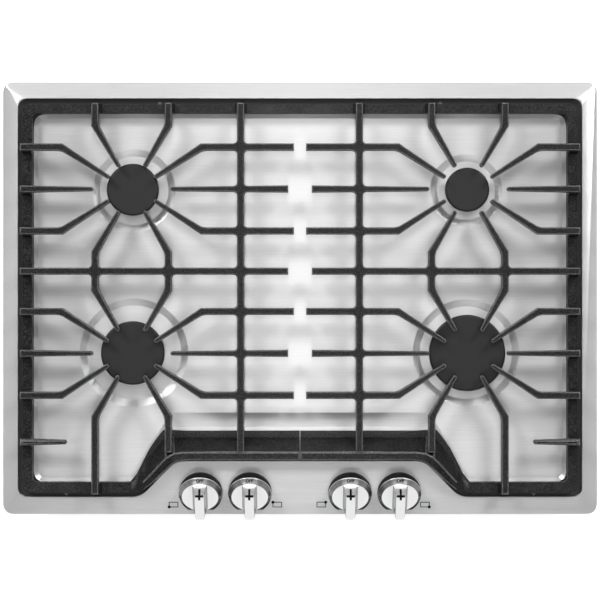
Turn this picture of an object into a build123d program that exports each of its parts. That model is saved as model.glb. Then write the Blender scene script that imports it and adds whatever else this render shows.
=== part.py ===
from build123d import *
import math
import os

os.makedirs("parts", exist_ok=True)

# Frame: X to the right, Y to the rear, Z up, in mm. The origin is the centre of the rim's
# outline, and z = 0 is the worktop that the rim stands on.

# ---- rim and tray, one drawn steel sheet ----
SHEET = 1.2
RIM_WIDTH = 762.0
RIM_DEPTH = 554.0
RIM_CORNER = 13.0
RIM_EDGE_Z = 2.5
RIM_MOUTH_Z = 8.0
SIDE_RIM = 19.5
REAR_RIM = 21.0
FRONT_RIM = 22.4
MOUTH_CORNER = 12.0
LEDGE_Z = -1.0
SIDE_LEDGE = 19.5
REAR_LEDGE = 19.5
FRONT_LEDGE = 18.6
LEDGE_SLOPE = 5.5
FLOOR_Z = -4.0
FLOOR_REAR_CORNER = 25.0
FLOOR_FRONT_CORNER = 8.0
PANEL_DEPTH = 69.0
PANEL_HALF_WIDTH = 158.3
PANEL_FLARE = 45.7
PANEL_BEND = 26.0
SHELF_Z = 4.0
SHELF_REAR = 130.0
SHELF_OVERHANG = 9.2
SHELF_FRONT = 37.0
SHELF_FLARE = 50.7
SHELF_RAMP = 18.0
SHELF_SIDE_RAMP = 8.0
WELL_DEPTH = 3.0
WELL_BAND = 9.0

# ---- burners: place, cap radius, radius of the well's rim ----
BURNER_SIDE_INSET = 167.5
REAR_BURNER_INSET = 138.5
FRONT_BURNER_INSET = 207.0
BURNER_X = RIM_WIDTH / 2 - BURNER_SIDE_INSET
REAR_BURNER_Y = RIM_DEPTH / 2 - REAR_BURNER_INSET
FRONT_BURNER_Y = -RIM_DEPTH / 2 + FRONT_BURNER_INSET
BURNERS = {
    "left_rear": (-BURNER_X, REAR_BURNER_Y, 33.2, 53.2),
    "left_front": (-BURNER_X, FRONT_BURNER_Y, 40.6, 69.7),
    "right_rear": (BURNER_X, REAR_BURNER_Y, 28.2, 46.5),
    "right_front": (BURNER_X, FRONT_BURNER_Y, 48.7, 68.5),
}
CAP_OVERHANG = 3.5
CAP_THICKNESS = 6.0
CAP_BEVEL = 1.5
CAP_LIP = 3.0
BASE_OVERHANG = 1.5
BASE_THICKNESS = 3.0
HEAD_HEIGHT = 17.0
HEAD_WALL = 6.0
HEAD_FLOOR = 4.0
HEAD_RELIEF = 2.5
PORT_DEPTH = 3.5
PORT_WIDTH = 1.6
PORT_PITCH = 6.0
CUP_RADIUS = 14.0
CUP_BORE = 10.5
CUP_FLOOR = 3.0
CUP_BELOW_INLET = 8.3
THROAT_RADIUS = 8.0
THROAT_BORE = 5.5
THROAT_LENGTH = 14.0
INLET_BOSS_RADIUS = 7.0
INLET_BOSS_REACH = 26.0
JET_RADIUS = 5.0
JET_HEIGHT = 13.0
BURNER_SCREW_RADIUS = 1.5
BURNER_SCREW_HEAD = 2.5
BURNER_SCREW_HEAD_HEIGHT = 1.7
BURNER_SCREW_LENGTH = 9.0
IGNITER_INSET = 3.5
IGNITER_RADIUS = 3.0
IGNITER_BOTTOM_Z = -30.0
IGNITER_HEIGHT = 32.0
ELECTRODE_RADIUS = 0.9
ELECTRODE_HEIGHT = 6.0
IGNITER_NOTCH = 4.5
SEAT_CLEARANCE = 0.3
HOLE_CLEARANCE = 0.1
RUNNING_CLEARANCE = 0.06

# ---- grates: cast iron, one for each side ----
GRATE_GAP = 0.8
RAIL_BOTTOM_Z = 3.0
RAIL_TOP_Z = 17.0
RAIL_SIDE_GAP = 7.5
RAIL_SIDE_WIDTH = 12.0
RAIL_REAR_GAP = 8.6
RAIL_REAR_WIDTH = 11.2
RAIL_FRONT_GAP = 5.9
RAIL_FRONT_WIDTH = 13.8
RAIL_CORNER = 8.0
RAIL_INNER_CORNER = 6.0
WEB_BOTTOM_Z = 26.0
WEB_TOP_Z = 40.0
WEB_CHAMFER = 2.2
BAR_WIDTH = 9.0
TIP_WIDTH = 5.6
ROW_OFFSET = 53.2
ROW_BEND = 89.0
ROW_TIP = (31.0, 16.0)
MIDDLE_TIP = 52.0
COLUMN_OFFSET = 46.5
COLUMN_BEND = 80.5
COLUMN_STRAIGHT = 23.75
COLUMN_TIP = (17.4, 30.4)
BAR_REACH = 1.0
ROW_INNER_END = 7.7
MIDDLE_INNER_END = 15.0
LONG_BAR_X = 75.3
STUB_INSET = 94.4
STUB_LENGTH = 56.0
LEG_FOOT = 16.0
LEG_TOP = 9.0
APRON_INSET = 107.4
APRON_GAP = 2.5
APRON_RIDGE_Z = 38.0
APRON_FLANGE_Z = 11.0
APRON_BOTTOM_Z = 5.5
APRON_WALL = 5.0
APRON_SKIRT = 18.0
APRON_MOUTH_END = (58.7, 65.7)
# x past the panel's half width and y past the apron's rear, then the same past its front; ridge z.
APRON_TURNS = [
    ((-11.3, 0.0), (-11.3, 0.0), 38.0),
    ((4.7, 1.0), (0.7, -2.5), 38.0),
    ((16.7, 1.1), (9.7, -10.2), 36.0),
    ((25.7, -10.4), (20.7, -20.6), 32.5),
    ((33.7, -21.9), (30.2, -30.4), 28.5),
    ((41.7, -37.4), (40.7, -38.4), 24.0),
    ((49.7, -53.9), (51.2, -42.2), 20.0),
]
COLUMN_REST = 26.0
FLANGE_SHARE = 0.235
RIDGE_SHARE = 0.28
FOOT_RADIUS = 4.5
FOOT_FROM_REAR = 62.0
FOOT_FROM_SIDE = 81.0
MIDDLE_FOOT_X = 30.0
PAD_INSET = 4.4

# ---- knobs and valves ----
KNOBS = {"left_front": -127.0, "left_rear": -64.0, "right_rear": 64.0, "right_front": 127.0}
KNOB_TILT = 38.0
KNOB_INSET = 27.5
KNOB_Z = 26.5
SKIRT_RADIUS = 27.8
SKIRT_EDGE = 1.6
FACE_RADIUS = 22.6
FACE_HEIGHT = 5.5
GRIP_LENGTH = 42.0
GRIP_FORWARD = 2.0
GRIP_HEIGHT = 19.0
GRIP_BASE_WIDTH = 20.0
GRIP_TOP_WIDTH = 11.8
BOSS_RADIUS = 7.0
BOSS_DEPTH = 9.0
PUSH_TRAVEL = 2.0
BEZEL_FOOT_RADIUS = 28.6
BEZEL_FOOT_BACK = 2.0
BEZEL_TOP_RADIUS = 25.5
BEZEL_TOP_FORWARD = 3.5
BEZEL_TOP_Z = 42.0
BEZEL_BORE = 13.0
BEZEL_GAP = 4.4
STEM_RADIUS = 3.0
STEM_FLAT = 2.0
STEM_TOP = 3.0
STEM_BOTTOM = -72.0
VALVE_TOP = -52.0
VALVE_BOTTOM = -86.0
VALVE_WIDTH = 24.0
PLUG_RADIUS = 7.0
PLUG_TOP = -56.0
PLUG_BOTTOM = -80.0
SWITCH_HEIGHT = 8.0
SWITCH_WIDTH = 26.0
SWITCH_BORE = 4.0
OUTLET_RADIUS = 7.0
OUTLET_INSET = 94.0
OUTLET_DEPTH = 8.0
MANIFOLD_OFFSET = 22.0
MANIFOLD_RADIUS = 8.0
MANIFOLD_WALL = 1.5
MANIFOLD_AT = -70.0
MANIFOLD_END_X = -150.0
MANIFOLD_BEND = 25.0
SPUD_RADIUS = 5.0
TUBE_RADIUS = 4.0
TUBE_BORE = 3.0
FRONT_TUBE_BEND = 16.0
REAR_TUBE_BEND = 24.0
REAR_TUBE_X = 108.0
FRONT_TUBE_LEGS = (38.0, 67.0)
REAR_TUBE_LEG = 51.0
LANE_PAST_MIDDLE = 14.25
REAR_TUBE_RUN = 68.5

# ---- burner box and what it holds ----
BOX_WALL = 1.0
BOX_SIDE_INSET = 35.0
BOX_REAR_INSET = 31.0
BOX_FRONT_INSET = 30.0
BOX_BOTTOM_Z = -75.0
BOX_CORNER = 6.0
BOX_FLANGE = 8.0
BOX_SCREW_RADIUS = 2.0
BOX_SCREW_HEAD = 3.6
BOX_SCREW_HEAD_HEIGHT = 2.0
BOX_SCREW_LINE = 4.3
SIDE_SCREWS_Y = (200.0, 60.0, -120.0)
REAR_SCREW_X = 180.0
FRONT_SCREW_X = 300.0
VENT_LENGTH = 46.0
VENT_HEIGHT = 4.0
VENT_PITCH = 60.0
VENT_COUNT = 5
SEAL_INSET = 4.0
SEAL_WIDTH = 8.0
SEAL_HEIGHT = 1.9
SUPPLY_INSET = 46.0
REGULATOR_INSET = 76.0
REGULATOR_LENGTH = 60.0
REGULATOR_BLOCK = 30.0
REGULATOR_DOME_RADIUS = 27.0
REGULATOR_DOME_HEIGHT = 14.0
FITTING_REACH = 8.0
FITTING_RADIUS = 14.0
FITTING_BORE = 10.5
FITTING_DEPTH = 16.0
MODULE_SIZE = (90.0, 50.0, 30.0)
MODULE_SIDE_INSET = 61.0
MODULE_REAR_INSET = 46.0
LEAD_RADIUS = 1.5
LEAD_Z = -68.0
LEAD_BEND = 12.0
GLAND_Z = -45.0
GLAND_RADIUS = 8.0
GLAND_COLLAR = 11.0
GLAND_BORE = 4.5
BRACKET_Y = 120.0
BRACKET_WIDTH = 30.0
BRACKET_HEIGHT = 30.0
BRACKET_REACH = 22.0
BRACKET_WALL = 2.0
BRACKET_ARM_Z = -55.0
BRACKET_HOLE = 3.3
BRACKET_SCREW = 3.0
CLAMP_SCREW_TOP_Z = -30.0
SADDLE_X = 95.0
SADDLE_WIDTH = 16.0

# ---- worked out from the sizes above ----
HALF_W = RIM_WIDTH / 2
HALF_D = RIM_DEPTH / 2
MOUTH_X = HALF_W - SIDE_RIM
MOUTH_REAR = HALF_D - REAR_RIM
MOUTH_FRONT = -HALF_D + FRONT_RIM
PANEL_REAR = -HALF_D + PANEL_DEPTH
SHELF_FOOT_Y = -HALF_D + SHELF_REAR
SHELF_FOOT_HALF = PANEL_HALF_WIDTH + SHELF_OVERHANG
SHELF_FRONT_Y = -HALF_D + SHELF_FRONT
RAIL_OUTER_X = MOUTH_X - RAIL_SIDE_GAP
RAIL_INNER_X = RAIL_OUTER_X - RAIL_SIDE_WIDTH
RAIL_REAR_OUTER_Y = MOUTH_REAR - RAIL_REAR_GAP
RAIL_REAR_INNER_Y = RAIL_REAR_OUTER_Y - RAIL_REAR_WIDTH
RAIL_FRONT_OUTER_Y = MOUTH_FRONT + RAIL_FRONT_GAP
RAIL_FRONT_INNER_Y = RAIL_FRONT_OUTER_Y + RAIL_FRONT_WIDTH
BAR_OUTER_END = RAIL_OUTER_X + BAR_REACH
CROSS_BAR_Y = (REAR_BURNER_Y + FRONT_BURNER_Y) / 2
APRON_REAR_Y = -HALF_D + APRON_INSET
KNOB_Y = -HALF_D + KNOB_INSET
OUTLET_Y = -HALF_D + OUTLET_INSET
BOX_HALF_X = HALF_W - BOX_SIDE_INSET
BOX_REAR_Y = HALF_D - BOX_REAR_INSET
BOX_FRONT_Y = -HALF_D + BOX_FRONT_INSET
SUPPLY_X = BOX_HALF_X - SUPPLY_INSET
REGULATOR_Y = BOX_REAR_Y - REGULATOR_INSET
FITTING_END_Y = BOX_REAR_Y + FITTING_REACH
MODULE_X = -BOX_HALF_X + MODULE_SIDE_INSET
MODULE_Y = BOX_REAR_Y - MODULE_REAR_INSET
PANEL_SLOPE = (RIM_MOUTH_Z - RIM_EDGE_Z) / FRONT_RIM
WELL_Z = FLOOR_Z - WELL_DEPTH
SEAT_Z = LEDGE_Z - SHEET
BOX_FLOOR_Z = BOX_BOTTOM_Z + BOX_WALL
TILT = math.radians(KNOB_TILT)
AXIS = Vector(0, -math.sin(TILT), math.cos(TILT))
HEAD_Z = WELL_Z + BASE_THICKNESS
CAP_Z = HEAD_Z + HEAD_HEIGHT
HIGH = 80.0


def along_axis(distance):
    """The (y, z) of a point on a knob's axis, measured from the knob's disc."""
    return KNOB_Y + AXIS.Y * distance, KNOB_Z + AXIS.Z * distance


OUTLET_Z = along_axis((VALVE_TOP + VALVE_BOTTOM) / 2)[1]
MANIFOLD_Y = along_axis(MANIFOLD_AT)[0] - AXIS.Z * MANIFOLD_OFFSET
MANIFOLD_Z = along_axis(MANIFOLD_AT)[1] + AXIS.Y * MANIFOLD_OFFSET


def save(name, *solids):
    """Writes one sub-part: a single solid, or a group of separate ones."""
    found = [s for item in solids for s in item.solids()]
    export_step(found[0] if len(found) == 1 else Compound(found), f"parts/{name}.step")


def moved_sides(points, distances):
    """The corners of a closed outline after each side has moved outwards by its own distance."""
    count = len(points)
    lines = []
    for i, (x, y) in enumerate(points):
        far_x, far_y = points[(i + 1) % count]
        length = math.hypot(far_x - x, far_y - y)
        ux, uy = (far_x - x) / length, (far_y - y) / length
        lines.append((x + uy * distances[i], y - ux * distances[i], ux, uy))
    corners = []
    for i in range(count):
        ax, ay, aux, auy = lines[i - 1]
        bx, by, bux, buy = lines[i]
        share = ((bx - ax) * buy - (by - ay) * bux) / (aux * buy - auy * bux)
        corners.append((ax + aux * share, ay + auy * share))
    return corners


def face(points, radii=0.0):
    """A flat face inside a closed outline, its corners rounded by one radius or by a list."""
    return make_face(FilletPolyline(*points, radius=radii, close=True))


def prism(points, low, high, radii=0.0):
    """A straight-walled solid on an outline."""
    return extrude(Pos(0, 0, low) * face(points, radii), high - low)


def rectangle(half_x, front, rear):
    return [(half_x, rear), (-half_x, rear), (-half_x, front), (half_x, front)]


def frustum(low_points, low, high_points, high, low_radii=0.0, high_radii=0.0):
    """A solid with flat sloping sides between two outlines."""
    bottom = Pos(0, 0, low) * face(low_points, low_radii)
    top = Pos(0, 0, high) * face(high_points, high_radii)
    return loft([bottom, top], ruled=True)


def rod(x, y, low, high, radius):
    return Pos(x, y, (low + high) / 2) * Cylinder(radius, high - low)


def on_axis(x):
    """The place of a knob's disc: its own z along the knob's axis, its own y up the slope."""
    return Location(Plane(origin=(x, KNOB_Y, KNOB_Z), x_dir=(1, 0, 0), z_dir=AXIS))


def axis_rod(x, low, high, radius):
    return on_axis(x) * Pos(0, 0, (low + high) / 2) * Cylinder(radius, high - low)


def d_rod(x, low, high, radius, flat):
    """A round rod with one flat side, as a knob's stem has."""
    spare = radius * 2
    cutter = on_axis(x) * Pos(0, -flat - spare / 2, (low + high) / 2) * Box(spare * 2, spare, high - low + 1)
    return axis_rod(x, low, high, radius) - cutter


def tube(points, radius, bore, bend):
    """A bent tube: straight runs joined by arcs."""
    path = FilletPolyline(*points, radius=bend)
    start = Plane(origin=path @ 0, z_dir=path % 0)
    pipe = sweep(start * Circle(radius), path=path)
    if bore:
        pipe -= sweep(start * Circle(bore), path=path)
    return pipe


def mirrored(item):
    return mirror(item, about=Plane.YZ)


# ---- rim, tray and control panel ----
def mouth_points():
    return [
        (MOUTH_X, MOUTH_REAR),
        (-MOUTH_X, MOUTH_REAR),
        (-MOUTH_X, MOUTH_FRONT),
        (-PANEL_HALF_WIDTH - PANEL_FLARE, MOUTH_FRONT),
        (-PANEL_HALF_WIDTH, PANEL_REAR),
        (PANEL_HALF_WIDTH, PANEL_REAR),
        (PANEL_HALF_WIDTH + PANEL_FLARE, MOUTH_FRONT),
        (MOUTH_X, MOUTH_FRONT),
    ]


def mouth(grow, low):
    points = moved_sides(mouth_points(), [grow] * 8)
    corner, out, back = MOUTH_CORNER + grow, PANEL_BEND + grow, PANEL_BEND - grow
    return prism(points, low, HIGH, [corner, corner, corner, out, back, back, out, corner])


def floor_recess(grow):
    top = rectangle(MOUTH_X - SIDE_LEDGE, MOUTH_FRONT + FRONT_LEDGE, MOUTH_REAR - REAR_LEDGE)
    top = moved_sides(top, [grow] * 4)
    bottom = moved_sides(top, [-LEDGE_SLOPE] * 4)
    rear, front = FLOOR_REAR_CORNER, FLOOR_FRONT_CORNER
    low_radii = [rear, rear, front, front]
    return frustum(bottom, FLOOR_Z - grow, top, LEDGE_Z - grow, low_radii, [r + LEDGE_SLOPE for r in low_radii])


def well(x, y, radius, grow):
    height = WELL_DEPTH
    return Pos(x, y, WELL_Z - grow + height / 2) * Cone(radius - WELL_BAND + grow, radius + grow, height)


def shelf(shrink):
    """The raised step in front of the tray, which the grates' aprons stand over."""
    foot = [
        (SHELF_FOOT_HALF, SHELF_FOOT_Y),
        (-SHELF_FOOT_HALF, SHELF_FOOT_Y),
        (-SHELF_FOOT_HALF - SHELF_FLARE, SHELF_FRONT_Y),
        (SHELF_FOOT_HALF + SHELF_FLARE, SHELF_FRONT_Y),
    ]
    foot = moved_sides(foot, [-shrink / 2] * 4)
    side = -SHELF_SIDE_RAMP
    top = moved_sides(foot, [-SHELF_RAMP, side, side, side])
    return frustum(foot, FLOOR_Z - shrink, top, SHELF_Z - shrink)


def rim_block(shrink):
    """The solid under the rim's top side: four flat slopes and the raised control panel."""
    base = rectangle(HALF_W - shrink, -HALF_D + shrink, HALF_D - shrink)
    top = rectangle(MOUTH_X, MOUTH_FRONT, MOUTH_REAR)
    edge, low = RIM_EDGE_Z - shrink, -shrink
    block = frustum(base, edge, top, RIM_MOUTH_Z - shrink) + prism(base, low, edge)
    rear_z = edge + PANEL_SLOPE * PANEL_DEPTH
    front = -HALF_D + shrink
    side_view = [(front, low), (PANEL_REAR + 2, low), (PANEL_REAR + 2, rear_z), (front, edge)]
    wedge_face = make_face(Polyline(*[(0, y, z) for y, z in side_view], close=True))
    half = PANEL_HALF_WIDTH + PANEL_FLARE
    wedge = extrude(wedge_face, half, dir=(1, 0, 0)) + extrude(wedge_face, half, dir=(-1, 0, 0))
    return (block + wedge) & prism(base, low - 1, HIGH, RIM_CORNER - shrink)


def recess(grow):
    hollow = floor_recess(grow) & mouth(grow, FLOOR_Z - grow - 1)
    hollow += mouth(grow, LEDGE_Z - grow) - shelf(grow)
    hollow -= shelf(grow)
    for x, y, _, radius in BURNERS.values():
        hollow += well(x, y, radius, grow)
    return hollow


def burner_screw_spots(x, y, cap_radius):
    """Three screws round the cup, under the burner head's hollow foot."""
    wall = cap_radius - CAP_OVERHANG - CAP_LIP
    reach = (CUP_RADIUS + wall) / 2
    turns = [math.radians(a) for a in (30, 150, 270)]
    return [(x + reach * math.cos(a), y + reach * math.sin(a)) for a in turns]


def igniter_spot(x, y, cap_radius):
    """The igniter stands on the outer side of its burner, under the cap."""
    return x + math.copysign(cap_radius - CAP_OVERHANG - IGNITER_INSET, x), y


def box_screw_spots():
    spots = [(BOX_HALF_X + BOX_SCREW_LINE, y) for y in SIDE_SCREWS_Y]
    spots += [(REAR_SCREW_X, BOX_REAR_Y + BOX_SCREW_LINE), (FRONT_SCREW_X, BOX_FRONT_Y - BOX_SCREW_LINE)]
    return [(side * x, y) for side in (-1, 1) for x, y in spots]


def cooktop_panel():
    grown = recess(SHEET)
    open_top = recess(0)
    sheet = rim_block(0) - (rim_block(SHEET) - grown) - open_top
    sheet += (grown & Pos(0, 0, -HIGH) * Box(RIM_WIDTH, RIM_DEPTH, 2 * HIGH)) - open_top
    for x, y, cap_radius, _ in BURNERS.values():
        sheet -= rod(x, y, WELL_Z - HIGH, HIGH, CUP_RADIUS + SEAT_CLEARANCE)
        ix, iy = igniter_spot(x, y, cap_radius)
        sheet -= rod(ix, iy, WELL_Z - HIGH, HIGH, IGNITER_RADIUS + SEAT_CLEARANCE)
        for sx, sy in burner_screw_spots(x, y, cap_radius):
            sheet -= rod(sx, sy, WELL_Z - HIGH, HIGH, BURNER_SCREW_RADIUS + HOLE_CLEARANCE)
    for x in KNOBS.values():
        sheet -= axis_rod(x, VALVE_TOP, HIGH, BEZEL_BORE)
    for x, y in box_screw_spots():
        sheet -= rod(x, y, SEAT_Z - 1, LEDGE_Z + 1, BOX_SCREW_RADIUS + HOLE_CLEARANCE)
    save("cooktop_panel", sheet)


def rim_seal():
    outer = rectangle(HALF_W - SEAL_INSET, -HALF_D + SEAL_INSET, HALF_D - SEAL_INSET)
    inner = moved_sides(outer, [-SEAL_WIDTH] * 4)
    ring = prism(outer, 0, SEAL_HEIGHT, RIM_CORNER) - prism(inner, -1, SEAL_HEIGHT + 1, RIM_CORNER / 2)
    save("rim_seal", ring)


# ---- burners ----
def burner(name, x, y, cap_radius):
    inlet_z = OUTLET_Z
    cup_z = inlet_z - CUP_BELOW_INLET
    spots = burner_screw_spots(x, y, cap_radius)
    ix, iy = igniter_spot(x, y, cap_radius)

    base = rod(x, y, WELL_Z, HEAD_Z, cap_radius - BASE_OVERHANG) + rod(x, y, cup_z, HEAD_Z, CUP_RADIUS)
    boss = Rot(90, 0, 0) * Cylinder(INLET_BOSS_RADIUS, INLET_BOSS_REACH)
    base += Pos(x, y - INLET_BOSS_REACH / 2, inlet_z) * boss
    base -= rod(x, y, cup_z + CUP_FLOOR, HEAD_Z + 1, CUP_BORE)
    bore = Rot(90, 0, 0) * Cylinder(TUBE_RADIUS + RUNNING_CLEARANCE, INLET_BOSS_REACH)
    base -= Pos(x, y - INLET_BOSS_REACH / 2 - 1, inlet_z) * bore
    base -= rod(ix, iy, WELL_Z - 1, HEAD_Z + 1, IGNITER_RADIUS + SEAT_CLEARANCE)
    for sx, sy in spots:
        base -= rod(sx, sy, WELL_Z - 1, HEAD_Z + 1, BURNER_SCREW_RADIUS + HOLE_CLEARANCE)
    save(f"burner_base_{name}", base)

    radius = cap_radius - CAP_OVERHANG
    chamber = radius - HEAD_WALL
    head = rod(x, y, HEAD_Z, CAP_Z, radius) + rod(x, y, HEAD_Z - THROAT_LENGTH, CAP_Z, THROAT_RADIUS)
    head -= rod(x, y, HEAD_Z + HEAD_FLOOR, CAP_Z + 1, chamber)
    head -= rod(x, y, HEAD_Z - THROAT_LENGTH - 1, CAP_Z, THROAT_BORE)
    relief = rod(x, y, HEAD_Z - 1, HEAD_Z + HEAD_RELIEF, radius - CAP_LIP)
    head -= relief - rod(x, y, HEAD_Z - 2, HEAD_Z + HEAD_RELIEF + 1, THROAT_RADIUS)
    head -= rod(ix, iy, HEAD_Z - 1, CAP_Z + 1, IGNITER_NOTCH)
    count = int(2 * math.pi * radius / PORT_PITCH)
    slot = Box(2 * HEAD_WALL, PORT_WIDTH, PORT_DEPTH)
    for i in range(count):
        turn = Rot(0, 0, 360 * (i + 0.5) / count) * Pos(radius - HEAD_WALL / 2, 0, 0) * slot
        head -= Pos(x, y, CAP_Z - PORT_DEPTH / 2) * turn
    save(f"burner_head_{name}", head)

    cap = rod(x, y, CAP_Z, CAP_Z + CAP_THICKNESS, cap_radius)
    cap = chamfer(cap.edges().group_by(Axis.Z)[-1], CAP_BEVEL)
    lip = chamber - SEAT_CLEARANCE
    cap += rod(x, y, CAP_Z - CAP_LIP, CAP_Z, lip) - rod(x, y, CAP_Z - CAP_LIP - 1, CAP_Z, lip - CAP_LIP)
    cap -= rod(ix, iy, CAP_Z - CAP_LIP - 1, CAP_Z - 0.01, IGNITER_NOTCH)
    save(f"burner_cap_{name}", cap)


def igniters():
    group = []
    for x, y, cap_radius, _ in BURNERS.values():
        ix, iy = igniter_spot(x, y, cap_radius)
        top = IGNITER_BOTTOM_Z + IGNITER_HEIGHT
        electrode = rod(ix, iy, top, top + ELECTRODE_HEIGHT, ELECTRODE_RADIUS)
        group.append(rod(ix, iy, IGNITER_BOTTOM_Z, top, IGNITER_RADIUS) + electrode)
    save("igniters", *group)


def gas_jets():
    group = []
    for x, y, _, _ in BURNERS.values():
        low = OUTLET_Z - CUP_BELOW_INLET + CUP_FLOOR
        hexagon = extrude(Pos(x, y, low) * RegularPolygon(JET_RADIUS, 6), JET_HEIGHT / 2)
        nose = Pos(x, y, low + JET_HEIGHT * 3 / 4) * Cone(JET_RADIUS * 0.8, JET_RADIUS * 0.4, JET_HEIGHT / 2)
        group.append(hexagon + nose)
    save("gas_jets", *group)


def burner_screws():
    group = []
    for x, y, cap_radius, _ in BURNERS.values():
        for sx, sy in burner_screw_spots(x, y, cap_radius):
            shank = rod(sx, sy, HEAD_Z - BURNER_SCREW_LENGTH, HEAD_Z, BURNER_SCREW_RADIUS)
            group.append(shank + rod(sx, sy, HEAD_Z, HEAD_Z + BURNER_SCREW_HEAD_HEIGHT, BURNER_SCREW_HEAD))
    save("burner_screws", *group)


# ---- grates ----
def bar(points, widths):
    """The plan of a bar through the points, with a width at each, as a flat face."""
    left, right = [], []
    for i, (x, y) in enumerate(points):
        before = points[max(i - 1, 0)]
        after = points[min(i + 1, len(points) - 1)]
        ax, ay = x - before[0], y - before[1]
        bx, by = after[0] - x, after[1] - y
        a, b = math.hypot(ax, ay) or 1, math.hypot(bx, by) or 1
        nx, ny = -(ay / a + by / b), ax / a + bx / b
        if i in (0, len(points) - 1):
            size = math.hypot(nx, ny)
            nx, ny = nx / size, ny / size
        else:
            size = (nx * nx + ny * ny) / 2
            nx, ny = nx / size, ny / size
        half = widths[i] / 2
        left.append((x + nx * half, y + ny * half))
        right.append((x - nx * half, y - ny * half))
    return make_face(Polyline(*(left + right[::-1]), close=True))


def finger(points):
    """A bar that tapers to a round tip at its last point."""
    widths = [BAR_WIDTH] * (len(points) - 1) + [TIP_WIDTH]
    return bar(points, widths) + Pos(*points[-1]) * Circle(TIP_WIDTH / 2)


def burner_bars(y, front_end):
    """The eight bars that come in to one burner of the right-hand grate."""
    faces = []
    for side, end in ((1, BAR_OUTER_END), (-1, ROW_INNER_END)):
        bend, tip = BURNER_X + side * ROW_BEND, BURNER_X + side * ROW_TIP[0]
        for up in (1, -1):
            row = y + up * ROW_OFFSET
            faces.append(finger([(end, row), (bend, row), (tip, y + up * ROW_TIP[1])]))
        middle_end = BAR_OUTER_END if side > 0 else MIDDLE_INNER_END
        faces.append(finger([(middle_end, y), (BURNER_X + side * MIDDLE_TIP, y)]))
        column, tip = BURNER_X + side * COLUMN_OFFSET, BURNER_X + side * COLUMN_TIP[0]
        rear_end = RAIL_REAR_OUTER_Y if y > CROSS_BAR_Y else CROSS_BAR_Y
        near_end = front_end[side] if front_end else CROSS_BAR_Y
        for up, end_y in ((1, rear_end), (-1, near_end)):
            inward = end_y == CROSS_BAR_Y
            bend_y = CROSS_BAR_Y - up * COLUMN_STRAIGHT if inward else y + up * COLUMN_BEND
            faces.append(finger([(column, end_y), (column, bend_y), (tip, y + up * COLUMN_TIP[1])]))
    return faces


def apron_stations():
    """Cuts across the apron from the middle to the corner: inner end, outer end and ridge height."""
    half, front = PANEL_HALF_WIDTH, PANEL_REAR + APRON_GAP
    stations = [((GRATE_GAP / 2, APRON_REAR_Y), (GRATE_GAP / 2, front), APRON_RIDGE_Z)]
    for (ax, ay), (dx, dy), ridge in APRON_TURNS:
        stations.append(((half + ax, APRON_REAR_Y + ay), (half + dx, front + dy), ridge))
    ax, dx = APRON_MOUTH_END
    stations.append(((half + ax, RAIL_FRONT_INNER_Y), (half + dx, RAIL_FRONT_OUTER_Y), RAIL_TOP_Z))
    return stations


def apron():
    """The raised front wall of the grate, which follows the control panel's rear edge."""
    sections = []
    for (ax, ay), (dx, dy), ridge in apron_stations():
        fall = (APRON_RIDGE_Z - ridge) / (APRON_RIDGE_Z - RAIL_TOP_Z)
        flange = APRON_FLANGE_Z + (RAIL_TOP_Z - 1.5 - APRON_FLANGE_Z) * fall
        low = APRON_BOTTOM_Z + (RAIL_BOTTOM_Z - APRON_BOTTOM_Z) * max(0.0, fall * 4 - 3)
        skirt = max(ridge - APRON_SKIRT, low)
        wall = APRON_WALL / math.hypot(dx - ax, dy - ay)
        profile = [
            (0, low),
            (0, flange),
            (FLANGE_SHARE, flange + 0.5),
            (1 - RIDGE_SHARE, ridge - 0.5),
            (1, ridge),
            (1, skirt),
            (1 - wall, skirt),
            (FLANGE_SHARE + wall, low),
        ]
        corners = [(ax + (dx - ax) * share, ay + (dy - ay) * share, z) for share, z in profile]
        sections.append(make_face(Polyline(*corners, close=True)))
    return loft(sections, ruled=True)


def leg(x, y, along_x):
    """A leg between the rail and a bar, wider at its foot."""
    thick = RAIL_OUTER_X - RAIL_INNER_X
    foot = (LEG_FOOT, thick) if along_x else (thick, LEG_FOOT)
    top = (LEG_TOP, thick) if along_x else (thick, LEG_TOP)
    low = Pos(x, y, RAIL_TOP_Z - 2) * Rectangle(*foot)
    high = Pos(x, y, WEB_BOTTOM_Z + 2) * Rectangle(*top)
    return loft([low, high], ruled=True)


def rail_middles():
    """The middle line of the side, the rear and the front rail."""
    side_x = (RAIL_OUTER_X + RAIL_INNER_X) / 2
    rear_y = (RAIL_REAR_OUTER_Y + RAIL_REAR_INNER_Y) / 2
    front_y = (RAIL_FRONT_OUTER_Y + RAIL_FRONT_INNER_Y) / 2
    return side_x, rear_y, front_y


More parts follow.
